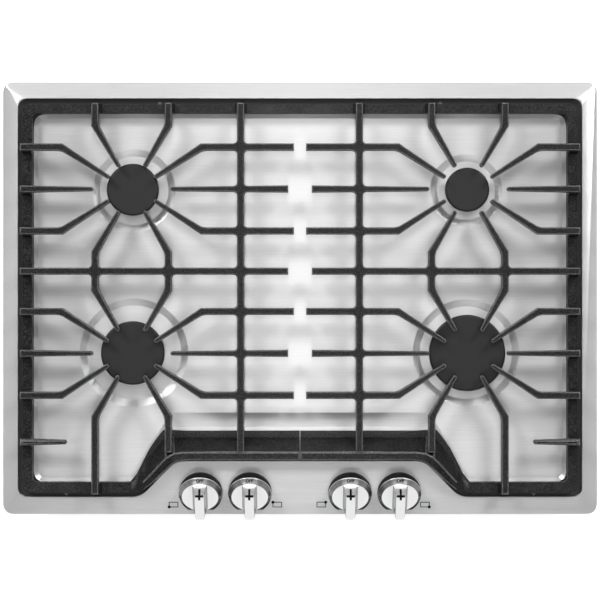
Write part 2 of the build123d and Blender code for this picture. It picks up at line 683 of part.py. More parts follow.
def grate_right():
    apron_end = apron_stations()[-1][0][0]
    rows = [y + up * ROW_OFFSET for y in (REAR_BURNER_Y, FRONT_BURNER_Y) for up in (-1, 0, 1)]
    stub_y = -HALF_D + STUB_INSET
    rows += [CROSS_BAR_Y, stub_y]
    columns = [BURNER_X + COLUMN_OFFSET, BURNER_X - COLUMN_OFFSET, LONG_BAR_X]
    inner_column_end = APRON_REAR_Y - COLUMN_REST
    faces = burner_bars(REAR_BURNER_Y, None)
    faces += burner_bars(FRONT_BURNER_Y, {1: RAIL_FRONT_OUTER_Y, -1: inner_column_end})
    faces.append(bar([(BAR_OUTER_END, CROSS_BAR_Y), (MIDDLE_INNER_END, CROSS_BAR_Y)], [BAR_WIDTH] * 2))
    faces.append(bar([(LONG_BAR_X, RAIL_REAR_OUTER_Y), (LONG_BAR_X, inner_column_end)], [BAR_WIDTH] * 2))
    faces.append(finger([(BAR_OUTER_END, stub_y), (BAR_OUTER_END - STUB_LENGTH, stub_y)]))
    plan = faces[0]
    for item in faces[1:]:
        plan += item
    web = extrude(Pos(0, 0, WEB_BOTTOM_Z) * plan, WEB_TOP_Z - WEB_BOTTOM_Z)
    web = chamfer(web.faces().sort_by(Axis.Z)[-1].edges(), WEB_CHAMFER)

    outer = [
        (RAIL_OUTER_X, RAIL_REAR_OUTER_Y),
        (GRATE_GAP / 2, RAIL_REAR_OUTER_Y),
        (GRATE_GAP / 2, RAIL_REAR_INNER_Y),
        (RAIL_INNER_X, RAIL_REAR_INNER_Y),
        (RAIL_INNER_X, RAIL_FRONT_INNER_Y),
        (apron_end, RAIL_FRONT_INNER_Y),
        (apron_end, RAIL_FRONT_OUTER_Y),
        (RAIL_OUTER_X, RAIL_FRONT_OUTER_Y),
    ]
    corner, inner = RAIL_CORNER, RAIL_INNER_CORNER
    rail = prism(outer, RAIL_BOTTOM_Z, RAIL_TOP_Z, [corner, 0, 0, inner, inner, 0, 0, corner])

    casting = web + rail + apron()
    side_x, rear_y, front_y = rail_middles()
    for y in rows:
        casting += leg(side_x, y, False)
    for x in columns:
        casting += leg(x, rear_y, True)
    casting += leg(BURNER_X + COLUMN_OFFSET, front_y, True)
    return casting


def feet_right():
    """Rubber feet under the rail, and one pad under the apron."""
    side_x, rear_y, front_y = rail_middles()
    along_side = HALF_D - FOOT_FROM_REAR
    spots = [(side_x, along_side), (MIDDLE_FOOT_X, rear_y), (side_x, -along_side)]
    spots.append((HALF_W - FOOT_FROM_SIDE, front_y))
    feet = [rod(x, y, LEDGE_Z, RAIL_BOTTOM_Z, FOOT_RADIUS) for x, y in spots]
    feet.append(rod(MIDDLE_FOOT_X, APRON_REAR_Y - PAD_INSET, SHELF_Z, APRON_BOTTOM_Z, FOOT_RADIUS))
    return feet


# ---- knobs, stems and valves ----
def knob(name, x):
    skirt = Pos(0, 0, -SKIRT_EDGE / 2) * Cylinder(SKIRT_RADIUS, SKIRT_EDGE)
    skirt += Pos(0, 0, FACE_HEIGHT / 2) * Cone(SKIRT_RADIUS, FACE_RADIUS, FACE_HEIGHT)
    skirt += Pos(0, 0, -SKIRT_EDGE - (BOSS_DEPTH - SKIRT_EDGE) / 2) * Cylinder(BOSS_RADIUS, BOSS_DEPTH - SKIRT_EDGE)
    low_face = Pos(0, -GRIP_FORWARD, 0) * Rectangle(GRIP_BASE_WIDTH, GRIP_LENGTH)
    high_face = Pos(0, -GRIP_FORWARD, FACE_HEIGHT + GRIP_HEIGHT) * Rectangle(GRIP_TOP_WIDTH, GRIP_LENGTH)
    grip = loft([low_face, high_face], ruled=True)
    turned = on_axis(x) * (skirt + grip)
    turned -= d_rod(x, -BOSS_DEPTH - 1, STEM_TOP, STEM_RADIUS + 0.02, STEM_FLAT + 0.02)
    save(f"knob_{name}", turned)


def knob_bezel(name, x):
    """A round plinth: a wall that leans in, lower face on the panel, upper face square to the knob."""
    foot = Pos(x, KNOB_Y + BEZEL_FOOT_BACK, 0) * Circle(BEZEL_FOOT_RADIUS)
    top = Pos(x, KNOB_Y - BEZEL_TOP_FORWARD, BEZEL_TOP_Z) * Circle(BEZEL_TOP_RADIUS)
    plinth = loft([foot, top], ruled=True)
    plinth -= on_axis(x) * Pos(0, 0, -BEZEL_GAP + HIGH) * Box(4 * HIGH, 4 * HIGH, 2 * HIGH)
    slope = Plane(
        origin=(x, -HALF_D, RIM_EDGE_Z),
        x_dir=(1, 0, 0),
        z_dir=(0, -math.sin(math.atan(PANEL_SLOPE)), math.cos(math.atan(PANEL_SLOPE))),
    )
    plinth -= Location(slope) * Pos(0, 0, -HIGH) * Box(4 * HIGH, 4 * HIGH, 2 * HIGH)
    plinth -= axis_rod(x, -HIGH, HIGH, BEZEL_BORE)
    save(f"knob_bezel_{name}", plinth)


def valve(name, x):
    length = VALVE_TOP - VALVE_BOTTOM
    body = on_axis(x) * Pos(0, 0, VALVE_TOP - length / 2) * Box(VALVE_WIDTH, VALVE_WIDTH, length)
    spud_length = MANIFOLD_OFFSET - MANIFOLD_RADIUS + MANIFOLD_WALL / 2
    spud = Pos(0, -spud_length / 2, MANIFOLD_AT) * Rot(90, 0, 0) * Cylinder(SPUD_RADIUS, spud_length)
    body += on_axis(x) * spud
    middle_y = along_axis((VALVE_TOP + VALVE_BOTTOM) / 2)[0]
    reach = OUTLET_Y - middle_y
    outlet = Rot(90, 0, 0) * Cylinder(OUTLET_RADIUS, reach)
    body += Pos(x, middle_y + reach / 2, OUTLET_Z) * outlet
    bore = Rot(90, 0, 0) * Cylinder(TUBE_RADIUS + RUNNING_CLEARANCE, OUTLET_DEPTH)
    body -= Pos(x, OUTLET_Y - OUTLET_DEPTH / 2, OUTLET_Z) * bore
    body -= axis_rod(x, PLUG_BOTTOM, PLUG_TOP, PLUG_RADIUS + RUNNING_CLEARANCE)
    body -= axis_rod(x, PLUG_TOP, VALVE_TOP + 1, STEM_RADIUS + RUNNING_CLEARANCE)
    save(f"gas_valve_{name}", body)

    plug = axis_rod(x, PLUG_BOTTOM + 0.1, PLUG_TOP - 0.1, PLUG_RADIUS)
    plug -= d_rod(x, STEM_BOTTOM - PUSH_TRAVEL - 1, PLUG_TOP, STEM_RADIUS + 0.05, STEM_FLAT + 0.05)
    save(f"valve_plug_{name}", plug)
    save(f"valve_stem_{name}", d_rod(x, STEM_BOTTOM, STEM_TOP, STEM_RADIUS, STEM_FLAT))


def ignition_switches():
    group = []
    for x in KNOBS.values():
        block = Box(SWITCH_WIDTH, VALVE_WIDTH, SWITCH_HEIGHT) - Cylinder(SWITCH_BORE, SWITCH_HEIGHT * 2)
        group.append(on_axis(x) * Pos(0, 0, VALVE_TOP + SWITCH_HEIGHT / 2) * block)
    save("ignition_switches", *group)


# ---- gas pipes ----
def manifold_pipe():
    corner = (SUPPLY_X, MANIFOLD_Y, MANIFOLD_Z)
    points = [(MANIFOLD_END_X, MANIFOLD_Y, MANIFOLD_Z), corner, (SUPPLY_X, REGULATOR_Y, MANIFOLD_Z)]
    pipe = tube(points, MANIFOLD_RADIUS, MANIFOLD_RADIUS - MANIFOLD_WALL, MANIFOLD_BEND)
    plug = Pos(MANIFOLD_END_X + 2, MANIFOLD_Y, MANIFOLD_Z) * Rot(0, 90, 0) * Cylinder(MANIFOLD_RADIUS - 0.5, 4)
    pipe += plug
    for x in KNOBS.values():
        port = Pos(0, -MANIFOLD_OFFSET / 2, MANIFOLD_AT) * Rot(90, 0, 0)
        pipe -= on_axis(x) * port * Cylinder(SPUD_RADIUS + HOLE_CLEARANCE, MANIFOLD_OFFSET)
    save("manifold_pipe", pipe)


def manifold_brackets():
    """Two saddles that stand on the box's floor and carry the manifold."""
    group = []
    for x in (-SADDLE_X, SADDLE_X):
        top = MANIFOLD_Z + 2
        height = top - BOX_FLOOR_Z
        block = Pos(x, MANIFOLD_Y, BOX_FLOOR_Z + height / 2) * Box(SADDLE_WIDTH, 2.6 * MANIFOLD_RADIUS, height)
        hole = Rot(0, 90, 0) * Cylinder(MANIFOLD_RADIUS + HOLE_CLEARANCE, 2 * SADDLE_WIDTH)
        group.append(block - Pos(x, MANIFOLD_Y, MANIFOLD_Z) * hole)
    save("manifold_brackets", *group)


def supply_tubes():
    start = OUTLET_Y - OUTLET_DEPTH
    for name, (x, y, _, _) in BURNERS.items():
        valve_x, side = KNOBS[name], math.copysign(1, x)
        end = y - INLET_BOSS_REACH + 6
        if y < 0:
            first, second = FRONT_TUBE_LEGS
            route = [(valve_x, start), (valve_x, start + first), (x, start + second), (x, end)]
            bend = FRONT_TUBE_BEND
        else:
            lane = side * REAR_TUBE_X
            route = [(valve_x, start), (valve_x, start + REAR_TUBE_LEG), (lane, FRONT_BURNER_Y)]
            route += [(lane, CROSS_BAR_Y - LANE_PAST_MIDDLE), (x, y - REAR_TUBE_RUN), (x, end)]
            bend = REAR_TUBE_BEND
        points = [(px, py, OUTLET_Z) for px, py in route]
        save(f"supply_tube_{name}", tube(points, TUBE_RADIUS, TUBE_BORE, bend))


def regulator():
    block_y = REGULATOR_Y + REGULATOR_LENGTH / 2
    body = Pos(SUPPLY_X, block_y, MANIFOLD_Z) * Box(REGULATOR_BLOCK, REGULATOR_LENGTH, REGULATOR_BLOCK / 2)
    dome = Cylinder(REGULATOR_DOME_RADIUS, REGULATOR_DOME_HEIGHT)
    body += Pos(SUPPLY_X, block_y, MANIFOLD_Z + REGULATOR_BLOCK / 4 + REGULATOR_DOME_HEIGHT / 2 - 2) * dome
    cap_height = REGULATOR_DOME_HEIGHT / 2
    cap = Cone(REGULATOR_DOME_RADIUS * 0.6, REGULATOR_DOME_RADIUS * 0.4, cap_height)
    body += Pos(SUPPLY_X, block_y, MANIFOLD_Z - REGULATOR_BLOCK / 4 - cap_height / 2 + 1) * Rot(180, 0, 0) * cap
    save("regulator", body)


def inlet_fitting():
    start = REGULATOR_Y + REGULATOR_LENGTH
    length = FITTING_END_Y - start
    fitting = Rot(90, 0, 0) * Cylinder(FITTING_RADIUS, length)
    bore = Rot(90, 0, 0) * Cylinder(FITTING_BORE, FITTING_DEPTH)
    body = Pos(SUPPLY_X, start + length / 2, MANIFOLD_Z) * fitting
    body -= Pos(SUPPLY_X, FITTING_END_Y - FITTING_DEPTH / 2, MANIFOLD_Z) * bore
    save("inlet_fitting", body)


# ---- burner box, its fixings and the ignition parts ----
def burner_box():
    outer = rectangle(BOX_HALF_X, BOX_FRONT_Y, BOX_REAR_Y)
    inner = moved_sides(outer, [-BOX_WALL] * 4)
    flange = moved_sides(outer, [BOX_FLANGE] * 4)
    box = prism(outer, BOX_BOTTOM_Z, SEAT_Z, BOX_CORNER)
    box += prism(flange, SEAT_Z - BOX_WALL, SEAT_Z, BOX_CORNER + BOX_FLANGE)
    box -= prism(inner, BOX_FLOOR_Z, SEAT_Z + 1, BOX_CORNER - BOX_WALL)
    for x, y in box_screw_spots():
        box -= rod(x, y, SEAT_Z - 2 * BOX_WALL, SEAT_Z + 1, BOX_SCREW_RADIUS + HOLE_CLEARANCE)
    through = Rot(90, 0, 0) * Cylinder(FITTING_RADIUS + SEAT_CLEARANCE, 10)
    box -= Pos(SUPPLY_X, BOX_REAR_Y, MANIFOLD_Z) * through
    gland_hole = Rot(90, 0, 0) * Cylinder(GLAND_RADIUS + HOLE_CLEARANCE, 10)
    box -= Pos(MODULE_X, BOX_REAR_Y, GLAND_Z) * gland_hole
    vent_z = (BOX_BOTTOM_Z + SEAT_Z) / 2
    for i in range(VENT_COUNT):
        x = (i - (VENT_COUNT - 1) / 2) * VENT_PITCH
        box -= Pos(x, BOX_REAR_Y, vent_z) * Box(VENT_LENGTH, 10, VENT_HEIGHT)
    for side in (-1, 1):
        for y in (-BRACKET_Y, BRACKET_Y):
            hole = Rot(0, 90, 0) * Cylinder(BRACKET_SCREW + HOLE_CLEARANCE, 10)
            box -= Pos(side * BOX_HALF_X, y, BRACKET_ARM_Z + BRACKET_HEIGHT / 2) * hole
    save("burner_box", box)


def box_screws():
    group = []
    for x, y in box_screw_spots():
        shank = rod(x, y, SEAT_Z - BOX_WALL, LEDGE_Z - 0.05, BOX_SCREW_RADIUS)
        low = SEAT_Z - BOX_WALL - BOX_SCREW_HEAD_HEIGHT
        group.append(shank + rod(x, y, low, SEAT_Z - BOX_WALL, BOX_SCREW_HEAD))
    save("box_screws", *group)


def hold_down():
    """Brackets on the box's sides, with the screws that fix them and clamp up to the worktop."""
    brackets, screws = [], []
    for side in (-1, 1):
        for y in (-BRACKET_Y, BRACKET_Y):
            wall_x = side * (BOX_HALF_X + BRACKET_WALL / 2)
            upright = Box(BRACKET_WALL, BRACKET_WIDTH, BRACKET_HEIGHT)
            arm = Box(BRACKET_REACH, BRACKET_WIDTH, BRACKET_WALL)
            middle_z = BRACKET_ARM_Z + BRACKET_HEIGHT / 2
            bracket = Pos(wall_x, y, middle_z) * upright
            arm_x = side * (BOX_HALF_X + BRACKET_REACH / 2)
            bracket += Pos(arm_x, y, BRACKET_ARM_Z + BRACKET_WALL / 2) * arm
            hole = Rot(0, 90, 0) * Cylinder(BRACKET_SCREW + HOLE_CLEARANCE, 4 * BRACKET_WALL)
            bracket -= Pos(wall_x, y, middle_z) * hole
            clamp_x = side * (BOX_HALF_X + BRACKET_REACH - 8)
            bracket -= rod(clamp_x, y, BRACKET_ARM_Z - 1, BRACKET_ARM_Z + 2 * BRACKET_WALL, BRACKET_HOLE)
            brackets.append(bracket)

            outer = BOX_HALF_X + BRACKET_WALL
            shank = Pos(side * (outer - 3), y, middle_z) * Rot(0, 90, 0) * Cylinder(BRACKET_SCREW, 6)
            head = Pos(side * (outer + 1.25), y, middle_z) * Rot(0, 90, 0) * Cylinder(2 * BRACKET_SCREW, 2.5)
            screws.append(shank + head)
            clamp_low = BRACKET_ARM_Z - 3
            clamp = rod(clamp_x, y, clamp_low, CLAMP_SCREW_TOP_Z, BRACKET_SCREW)
            screws.append(clamp + rod(clamp_x, y, clamp_low, BRACKET_ARM_Z, 2 * BRACKET_SCREW))
    save("hold_down_brackets", *brackets)
    save("bracket_screws", *screws)


def ignition_parts():
    width, depth, height = MODULE_SIZE
    module = Pos(MODULE_X, MODULE_Y, BOX_FLOOR_Z + height / 2) * Box(width, depth, height)
    module = chamfer(module.edges().filter_by(Axis.Z), 3)
    save("ignition_module", module)

    near_y, side_x = MODULE_Y - depth / 2, MODULE_X + width / 2
    leads = []
    for i, (x, y, cap_radius, _) in enumerate(BURNERS.values()):
        ix, iy = igniter_spot(x, y, cap_radius)
        lane_y = MODULE_Y - 15 + 8 * i
        if x < 0:
            lane_x = MODULE_X - 12 - 10 * (y < 0)
            points = [(lane_x, near_y, LEAD_Z), (lane_x, iy, LEAD_Z), (ix, iy, LEAD_Z), (ix, iy, IGNITER_BOTTOM_Z)]
        else:
            points = [(side_x, lane_y, LEAD_Z), (ix, lane_y, LEAD_Z), (ix, iy, LEAD_Z), (ix, iy, IGNITER_BOTTOM_Z)]
        leads.append(tube(points, LEAD_RADIUS, 0, LEAD_BEND))
    save("ignition_leads", *leads)

    collar = Rot(90, 0, 0) * Cylinder(GLAND_COLLAR, 5)
    gland = Pos(MODULE_X, BOX_REAR_Y + 2.5, GLAND_Z) * collar
    gland += Pos(MODULE_X, BOX_REAR_Y - 4, GLAND_Z) * Rot(90, 0, 0) * Cylinder(GLAND_RADIUS, 10)
    gland -= Pos(MODULE_X, BOX_REAR_Y, GLAND_Z) * Rot(90, 0, 0) * Cylinder(GLAND_BORE, 40)
    save("power_gland", gland)


cooktop_panel()
rim_seal()
for burner_name, (burner_x, burner_y, burner_cap, _) in BURNERS.items():
    burner(burner_name, burner_x, burner_y, burner_cap)
igniters()
gas_jets()
burner_screws()
right_grate = grate_right()
save("grate_right", right_grate)
save("grate_left", mirrored(right_grate))
right_feet = feet_right()
save("grate_feet_right", *right_feet)
save("grate_feet_left", *[mirrored(foot) for foot in right_feet])
for knob_name, knob_x in KNOBS.items():
    knob(knob_name, knob_x)
    knob_bezel(knob_name, knob_x)
    valve(knob_name, knob_x)
ignition_switches()
manifold_pipe()
manifold_brackets()
supply_tubes()
regulator()
inlet_fitting()
burner_box()
box_screws()
hold_down()
ignition_parts()
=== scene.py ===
from math import cos, degrees, radians, sin

import bmesh
import bpy
from mathutils import Matrix, Vector


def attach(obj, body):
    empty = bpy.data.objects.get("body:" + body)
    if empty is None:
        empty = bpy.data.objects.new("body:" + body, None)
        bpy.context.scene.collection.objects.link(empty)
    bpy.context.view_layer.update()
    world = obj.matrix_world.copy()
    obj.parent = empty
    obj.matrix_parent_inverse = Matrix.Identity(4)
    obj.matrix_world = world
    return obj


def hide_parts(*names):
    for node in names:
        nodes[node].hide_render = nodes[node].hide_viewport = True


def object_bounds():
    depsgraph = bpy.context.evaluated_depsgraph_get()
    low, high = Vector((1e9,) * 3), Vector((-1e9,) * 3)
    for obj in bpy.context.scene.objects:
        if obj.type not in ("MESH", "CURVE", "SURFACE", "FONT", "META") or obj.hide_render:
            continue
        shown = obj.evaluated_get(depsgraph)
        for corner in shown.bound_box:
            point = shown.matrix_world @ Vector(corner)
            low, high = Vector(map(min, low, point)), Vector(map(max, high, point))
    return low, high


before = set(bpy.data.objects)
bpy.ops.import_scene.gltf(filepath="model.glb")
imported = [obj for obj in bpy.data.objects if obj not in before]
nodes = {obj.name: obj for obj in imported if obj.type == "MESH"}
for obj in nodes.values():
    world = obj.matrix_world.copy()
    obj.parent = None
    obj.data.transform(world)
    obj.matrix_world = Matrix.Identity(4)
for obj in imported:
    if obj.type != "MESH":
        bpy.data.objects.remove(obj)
cad_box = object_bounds()

# ---------------------------------------------------------------------------
# The view: a long lens straight above the middle of the cooktop, its rear
# edge at the top of the picture. Here and below, sizes are in metres and
# turns in degrees.
# ---------------------------------------------------------------------------
EYE_HEIGHT = 2.9
EYE_Y = -0.0023
LENS = 135.5
SENSOR_WIDTH = 36
FARTHEST_SEEN = 50

eye = bpy.data.cameras.new("eye")
eye.lens = LENS
eye.sensor_width = SENSOR_WIDTH
eye.clip_end = FARTHEST_SEEN
eye_holder = bpy.data.objects.new("eye", eye)
eye_holder.location = (0, EYE_Y, EYE_HEIGHT)
bpy.context.scene.collection.objects.link(eye_holder)
bpy.context.scene.camera = eye_holder
bpy.context.scene.view_settings.view_transform = "Standard"

# ---------------------------------------------------------------------------
# The studio: soft lamps behind the rear corners, in front and overhead, a
# narrow one that draws the bright band down the steel, and a white room
# whose ceiling mirrors darker than its walls.
# ---------------------------------------------------------------------------
ROOM_LIGHT = 0.05
CEILING = 0.12
WALL_TOP = 0.42
CEILING_EDGE = 0.7
KEY_OUT = 1.7
KEY_BACK = 1.8
KEY_HEIGHT = 2.5
KEY_AIM_OUT = 0.2
KEY_SIZE = 1.0
KEY_POWER = 2.9
KEY_SPREAD = 32
FRONT_PLACE = (0, -1.45, 2.75)
FRONT_AIM = (0, -0.2, 0)
FRONT_WIDTH = 2.0
FRONT_LENGTH = 0.5
FRONT_POWER = 0.8
FRONT_SPREAD = 60
OVERHEAD_HEIGHT = 3.2
OVERHEAD_WIDTH = 4.2
OVERHEAD_LENGTH = 3.4
OVERHEAD_POWER = 0.3
BAND_BACK = 0.5
BAND_HEIGHT = 3.15
BAND_WIDTH = 0.5
BAND_LENGTH = 4.0
BAND_POWER = 27


def soft_lamp(name, place, aim, width, length, power, spread=180):
    """A rectangular soft lamp at a place, turned to shine at a point."""
    light = bpy.data.lights.new(name, "AREA")
    light.shape = "RECTANGLE"
    light.size = width
    light.size_y = length
    light.energy = power
    light.spread = radians(spread)
    holder = bpy.data.objects.new(name, light)
    holder.location = place
    holder.rotation_euler = (Vector(aim) - Vector(place)).to_track_quat("-Z", "Y").to_euler()
    bpy.context.scene.collection.objects.link(holder)


for side in (-1, 1):
    soft_lamp("key_rear", (KEY_OUT * side, KEY_BACK, KEY_HEIGHT), (KEY_AIM_OUT * side, 0, 0),
              KEY_SIZE, KEY_SIZE, KEY_POWER, KEY_SPREAD)
soft_lamp("front", FRONT_PLACE, FRONT_AIM, FRONT_WIDTH, FRONT_LENGTH, FRONT_POWER, FRONT_SPREAD)
soft_lamp("overhead", (0, 0, OVERHEAD_HEIGHT), (0, 0, 0), OVERHEAD_WIDTH, OVERHEAD_LENGTH, OVERHEAD_POWER)
soft_lamp("band", (0, BAND_BACK, BAND_HEIGHT), (0, BAND_BACK, 0), BAND_WIDTH, BAND_LENGTH, BAND_POWER)

room = bpy.data.worlds.new("room")
room.use_nodes = True
bpy.context.scene.world = room
room_tree = room.node_tree
room_path = room_tree.nodes.new("ShaderNodeLightPath")
mirrored = room_tree.nodes.new("ShaderNodeMath")
mirrored.operation = "MAXIMUM"
seen = room_tree.nodes.new("ShaderNodeMath")
seen.operation = "MAXIMUM"
room_direction = room_tree.nodes.new("ShaderNodeTexCoord")
room_height = room_tree.nodes.new("ShaderNodeSeparateXYZ")
room_shade = room_tree.nodes.new("ShaderNodeMapRange")
room_shade.interpolation_type = "SMOOTHSTEP"
room_shade.inputs["From Min"].default_value = WALL_TOP
room_shade.inputs["From Max"].default_value = CEILING_EDGE
room_shade.inputs["To Min"].default_value = 1.0
room_shade.inputs["To Max"].default_value = CEILING
room_level = room_tree.nodes.new("ShaderNodeMix")
room_level.inputs["A"].default_value = ROOM_LIGHT
room_tree.links.new(room_path.outputs["Is Glossy Ray"], mirrored.inputs[0])
room_tree.links.new(room_path.outputs["Is Transmission Ray"], mirrored.inputs[1])
room_tree.links.new(room_path.outputs["Is Camera Ray"], seen.inputs[0])
room_tree.links.new(mirrored.outputs[0], seen.inputs[1])
room_tree.links.new(room_direction.outputs["Generated"], room_height.inputs[0])
room_tree.links.new(room_height.outputs["Z"], room_shade.inputs["Value"])
room_tree.links.new(seen.outputs[0], room_level.inputs["Factor"])
room_tree.links.new(room_shade.outputs[0], room_level.inputs["B"])
room_tree.links.new(room_level.outputs[0], room_tree.nodes["Background"].inputs["Strength"])
room_tree.nodes["Background"].inputs["Color"].default_value = (1, 1, 1, 1)

# ---------------------------------------------------------------------------
# The floor: one pale sheet just under the burner box. It looks white to the
# eye and in reflections, and keeps the shadow of the cooktop.
# ---------------------------------------------------------------------------
FLOOR_GAP = 0.0005
FLOOR_LEVEL = cad_box[0].z - FLOOR_GAP
FLOOR_REACH = 6
FLOOR_GLOW = 0.75
FLOOR_WHITE = (0.9, 0.9, 0.9, 1)

floor_mesh = bmesh.new()
bmesh.ops.create_grid(floor_mesh, x_segments=1, y_segments=1, size=FLOOR_REACH)
bmesh.ops.translate(floor_mesh, verts=floor_mesh.verts, vec=(0, 0, FLOOR_LEVEL))
floor_data = bpy.data.meshes.new("floor")
floor_mesh.to_mesh(floor_data)
floor_mesh.free()
floor = bpy.data.objects.new("floor", floor_data)
bpy.context.scene.collection.objects.link(floor)

white_floor = bpy.data.materials.new("white_floor")
white_floor.use_nodes = True
floor_tree = white_floor.node_tree
floor_shader = floor_tree.nodes["Principled BSDF"]
floor_shader.inputs["Base Color"].default_value = FLOOR_WHITE
floor_shader.inputs["Roughness"].default_value = 0.8
floor_shader.inputs["Specular IOR Level"].default_value = 0.1
floor_path = floor_tree.nodes.new("ShaderNodeLightPath")
floor_seen = floor_tree.nodes.new("ShaderNodeMath")
floor_seen.operation = "MAXIMUM"
floor_glow = floor_tree.nodes.new("ShaderNodeMath")
floor_glow.operation = "MULTIPLY"
floor_glow.inputs[1].default_value = FLOOR_GLOW
floor_tree.links.new(floor_path.outputs["Is Camera Ray"], floor_seen.inputs[0])
floor_tree.links.new(floor_path.outputs["Is Glossy Ray"], floor_seen.inputs[1])
floor_tree.links.new(floor_seen.outputs[0], floor_glow.inputs[0])
floor_shader.inputs["Emission Color"].default_value = (1, 1, 1, 1)
floor_tree.links.new(floor_glow.outputs[0], floor_shader.inputs["Emission Strength"])
floor_data.materials.append(white_floor)

# ---------------------------------------------------------------------------
# The cooktop panel: one sheet of brushed stainless steel, drawn and pressed
# to a sloping rim, a sunken tray with a well round each burner, and a raised
# slope for the knobs. The press leaves every fold softly rounded.
# ---------------------------------------------------------------------------
SAME_POINT = 1e-6
SAME_PLANE = 0.6
FOLD_TURN = 8
MOUTH_ROLL = 0.0036
MOUTH_TURN = 50
MOUTH_LOWEST = 0.0055
MOUTH_HALF_WIDTH = 0.366
MOUTH_HALF_DEPTH = 0.262
TRAY_FOLD = 0.0024
TRAY_STEEPEST = 60
TRAY_HIGHEST = 0.0045
TRAY_HALF_WIDTH = 0.35
TRAY_FRONT = -0.2535
TRAY_REAR = 0.244
TRAY_TURN_TOP = 0.0005
TRAY_TURN_X = 0.3115
TRAY_TURN_Y = 0.206
TRAY_TURN_REACH = 0.0335
TRAY_TURN_SHAPE = 5
WALL_FOLD = 0.0015
WALL_TURN = 80
WALL_FOOT_X = 0.359
WALL_FOOT_Y = 0.253
LEDGE_LOWEST = -0.0011
LEDGE_HIGHEST = 0.003
LEDGE_FLOOR = -0.0009
LEDGE_LEAST_RISE = 0.3
LEDGE_FROM_X = 0.3545
LEDGE_FROM_REAR = 0.248
LEDGE_FROM_FRONT = -0.249
BULGE_START = 0.52
BULGE_FULL = 0.62
PEAK_START = 0.42
PEAK_FULL = 0.68
RELIEF_DEPTH = 0.0002


def merged_copy(node):
    """The solid of a CAD node, its triangles merged into whole flat faces."""
    solid = bmesh.new()
    solid.from_mesh(nodes[node].data)
    bmesh.ops.remove_doubles(solid, verts=solid.verts, dist=SAME_POINT)
    bmesh.ops.dissolve_limit(solid, angle_limit=radians(SAME_PLANE), use_dissolve_boundaries=False,
                             verts=solid.verts, edges=solid.edges, delimit={"NORMAL"})
    return solid


def turn_at(edge):
    """How far the surface turns at an edge, in degrees."""
    return degrees(edge.calc_face_angle(0))


def middle(edge):
    """The point half way along an edge."""
    return (edge.verts[0].co + edge.verts[1].co) / 2


def round_edges(solid, edges, radius, segments=3, clamped=True, material=-1):
    """Rounds the given edges of a solid; the new faces may have their own material slot."""
    bmesh.ops.bevel(solid, geom=list(edges), offset=radius, offset_type="OFFSET", segments=segments,
                    profile=0.5, affect="EDGES", clamp_overlap=clamped, material=material)


def add_piece(name, solid, material):
    """Puts a finished solid in the scene as a smooth-shaded piece at the origin."""
    data = bpy.data.meshes.new(name)
    for face in solid.faces:
        face.smooth = True
    solid.to_mesh(data)
    solid.free()
    data.materials.append(material)
    piece = bpy.data.objects.new(name, data)
    bpy.context.scene.collection.objects.link(piece)
    even = piece.modifiers.new("even_shading", "WEIGHTED_NORMAL")
    even.keep_sharp = True
    return piece


def new_group(name, inputs, outputs):
    """An empty shader node group with the named sockets, and its two end nodes."""
    group = bpy.data.node_groups.new(name, "ShaderNodeTree")
    for socket, kind, value in inputs:
        made = group.interface.new_socket(socket, in_out="INPUT", socket_type=kind)
        if value is not None:
            made.default_value = value
    for socket, kind in outputs:
        group.interface.new_socket(socket, in_out="OUTPUT", socket_type=kind)
    return group, group.nodes.new("NodeGroupInput"), group.nodes.new("NodeGroupOutput")


# Edge wear and sheen: a mask that is 1 where the surface bulges, broken up by noise. It lightens bulging
# edges as rubbed wear, and on the black grate enamel partly as a painted highlight.
wear_and_sheen_group, wear_and_sheen_in, wear_and_sheen_out = new_group(
    "edge_wear_and_sheen",
    [("Vector", "NodeSocketVector", None), ("Amount", "NodeSocketFloat", 0.5),
     ("Patch Scale", "NodeSocketFloat", 60.0)],
    [("Mask", "NodeSocketFloat")])
bulge = wear_and_sheen_group.nodes.new("ShaderNodeNewGeometry")
bulge_step = wear_and_sheen_group.nodes.new("ShaderNodeMapRange")
bulge_step.inputs["From Min"].default_value = BULGE_START
bulge_step.inputs["From Max"].default_value = BULGE_FULL
patches = wear_and_sheen_group.nodes.new("ShaderNodeTexNoise")
patch_mask = wear_and_sheen_group.nodes.new("ShaderNodeMath")
patch_mask.operation = "MULTIPLY"
wear_and_sheen_level = wear_and_sheen_group.nodes.new("ShaderNodeMath")
wear_and_sheen_level.operation = "MULTIPLY"
wear_and_sheen_group.links.new(bulge.outputs["Pointiness"], bulge_step.inputs["Value"])
wear_and_sheen_group.links.new(wear_and_sheen_in.outputs["Vector"], patches.inputs["Vector"])
wear_and_sheen_group.links.new(wear_and_sheen_in.outputs["Patch Scale"], patches.inputs["Scale"])
wear_and_sheen_group.links.new(bulge_step.outputs[0], patch_mask.inputs[0])
wear_and_sheen_group.links.new(patches.outputs["Fac"], patch_mask.inputs[1])
wear_and_sheen_group.links.new(patch_mask.outputs[0], wear_and_sheen_level.inputs[0])
wear_and_sheen_group.links.new(wear_and_sheen_in.outputs["Amount"], wear_and_sheen_level.inputs[1])
wear_and_sheen_group.links.new(wear_and_sheen_level.outputs[0], wear_and_sheen_out.inputs["Mask"])

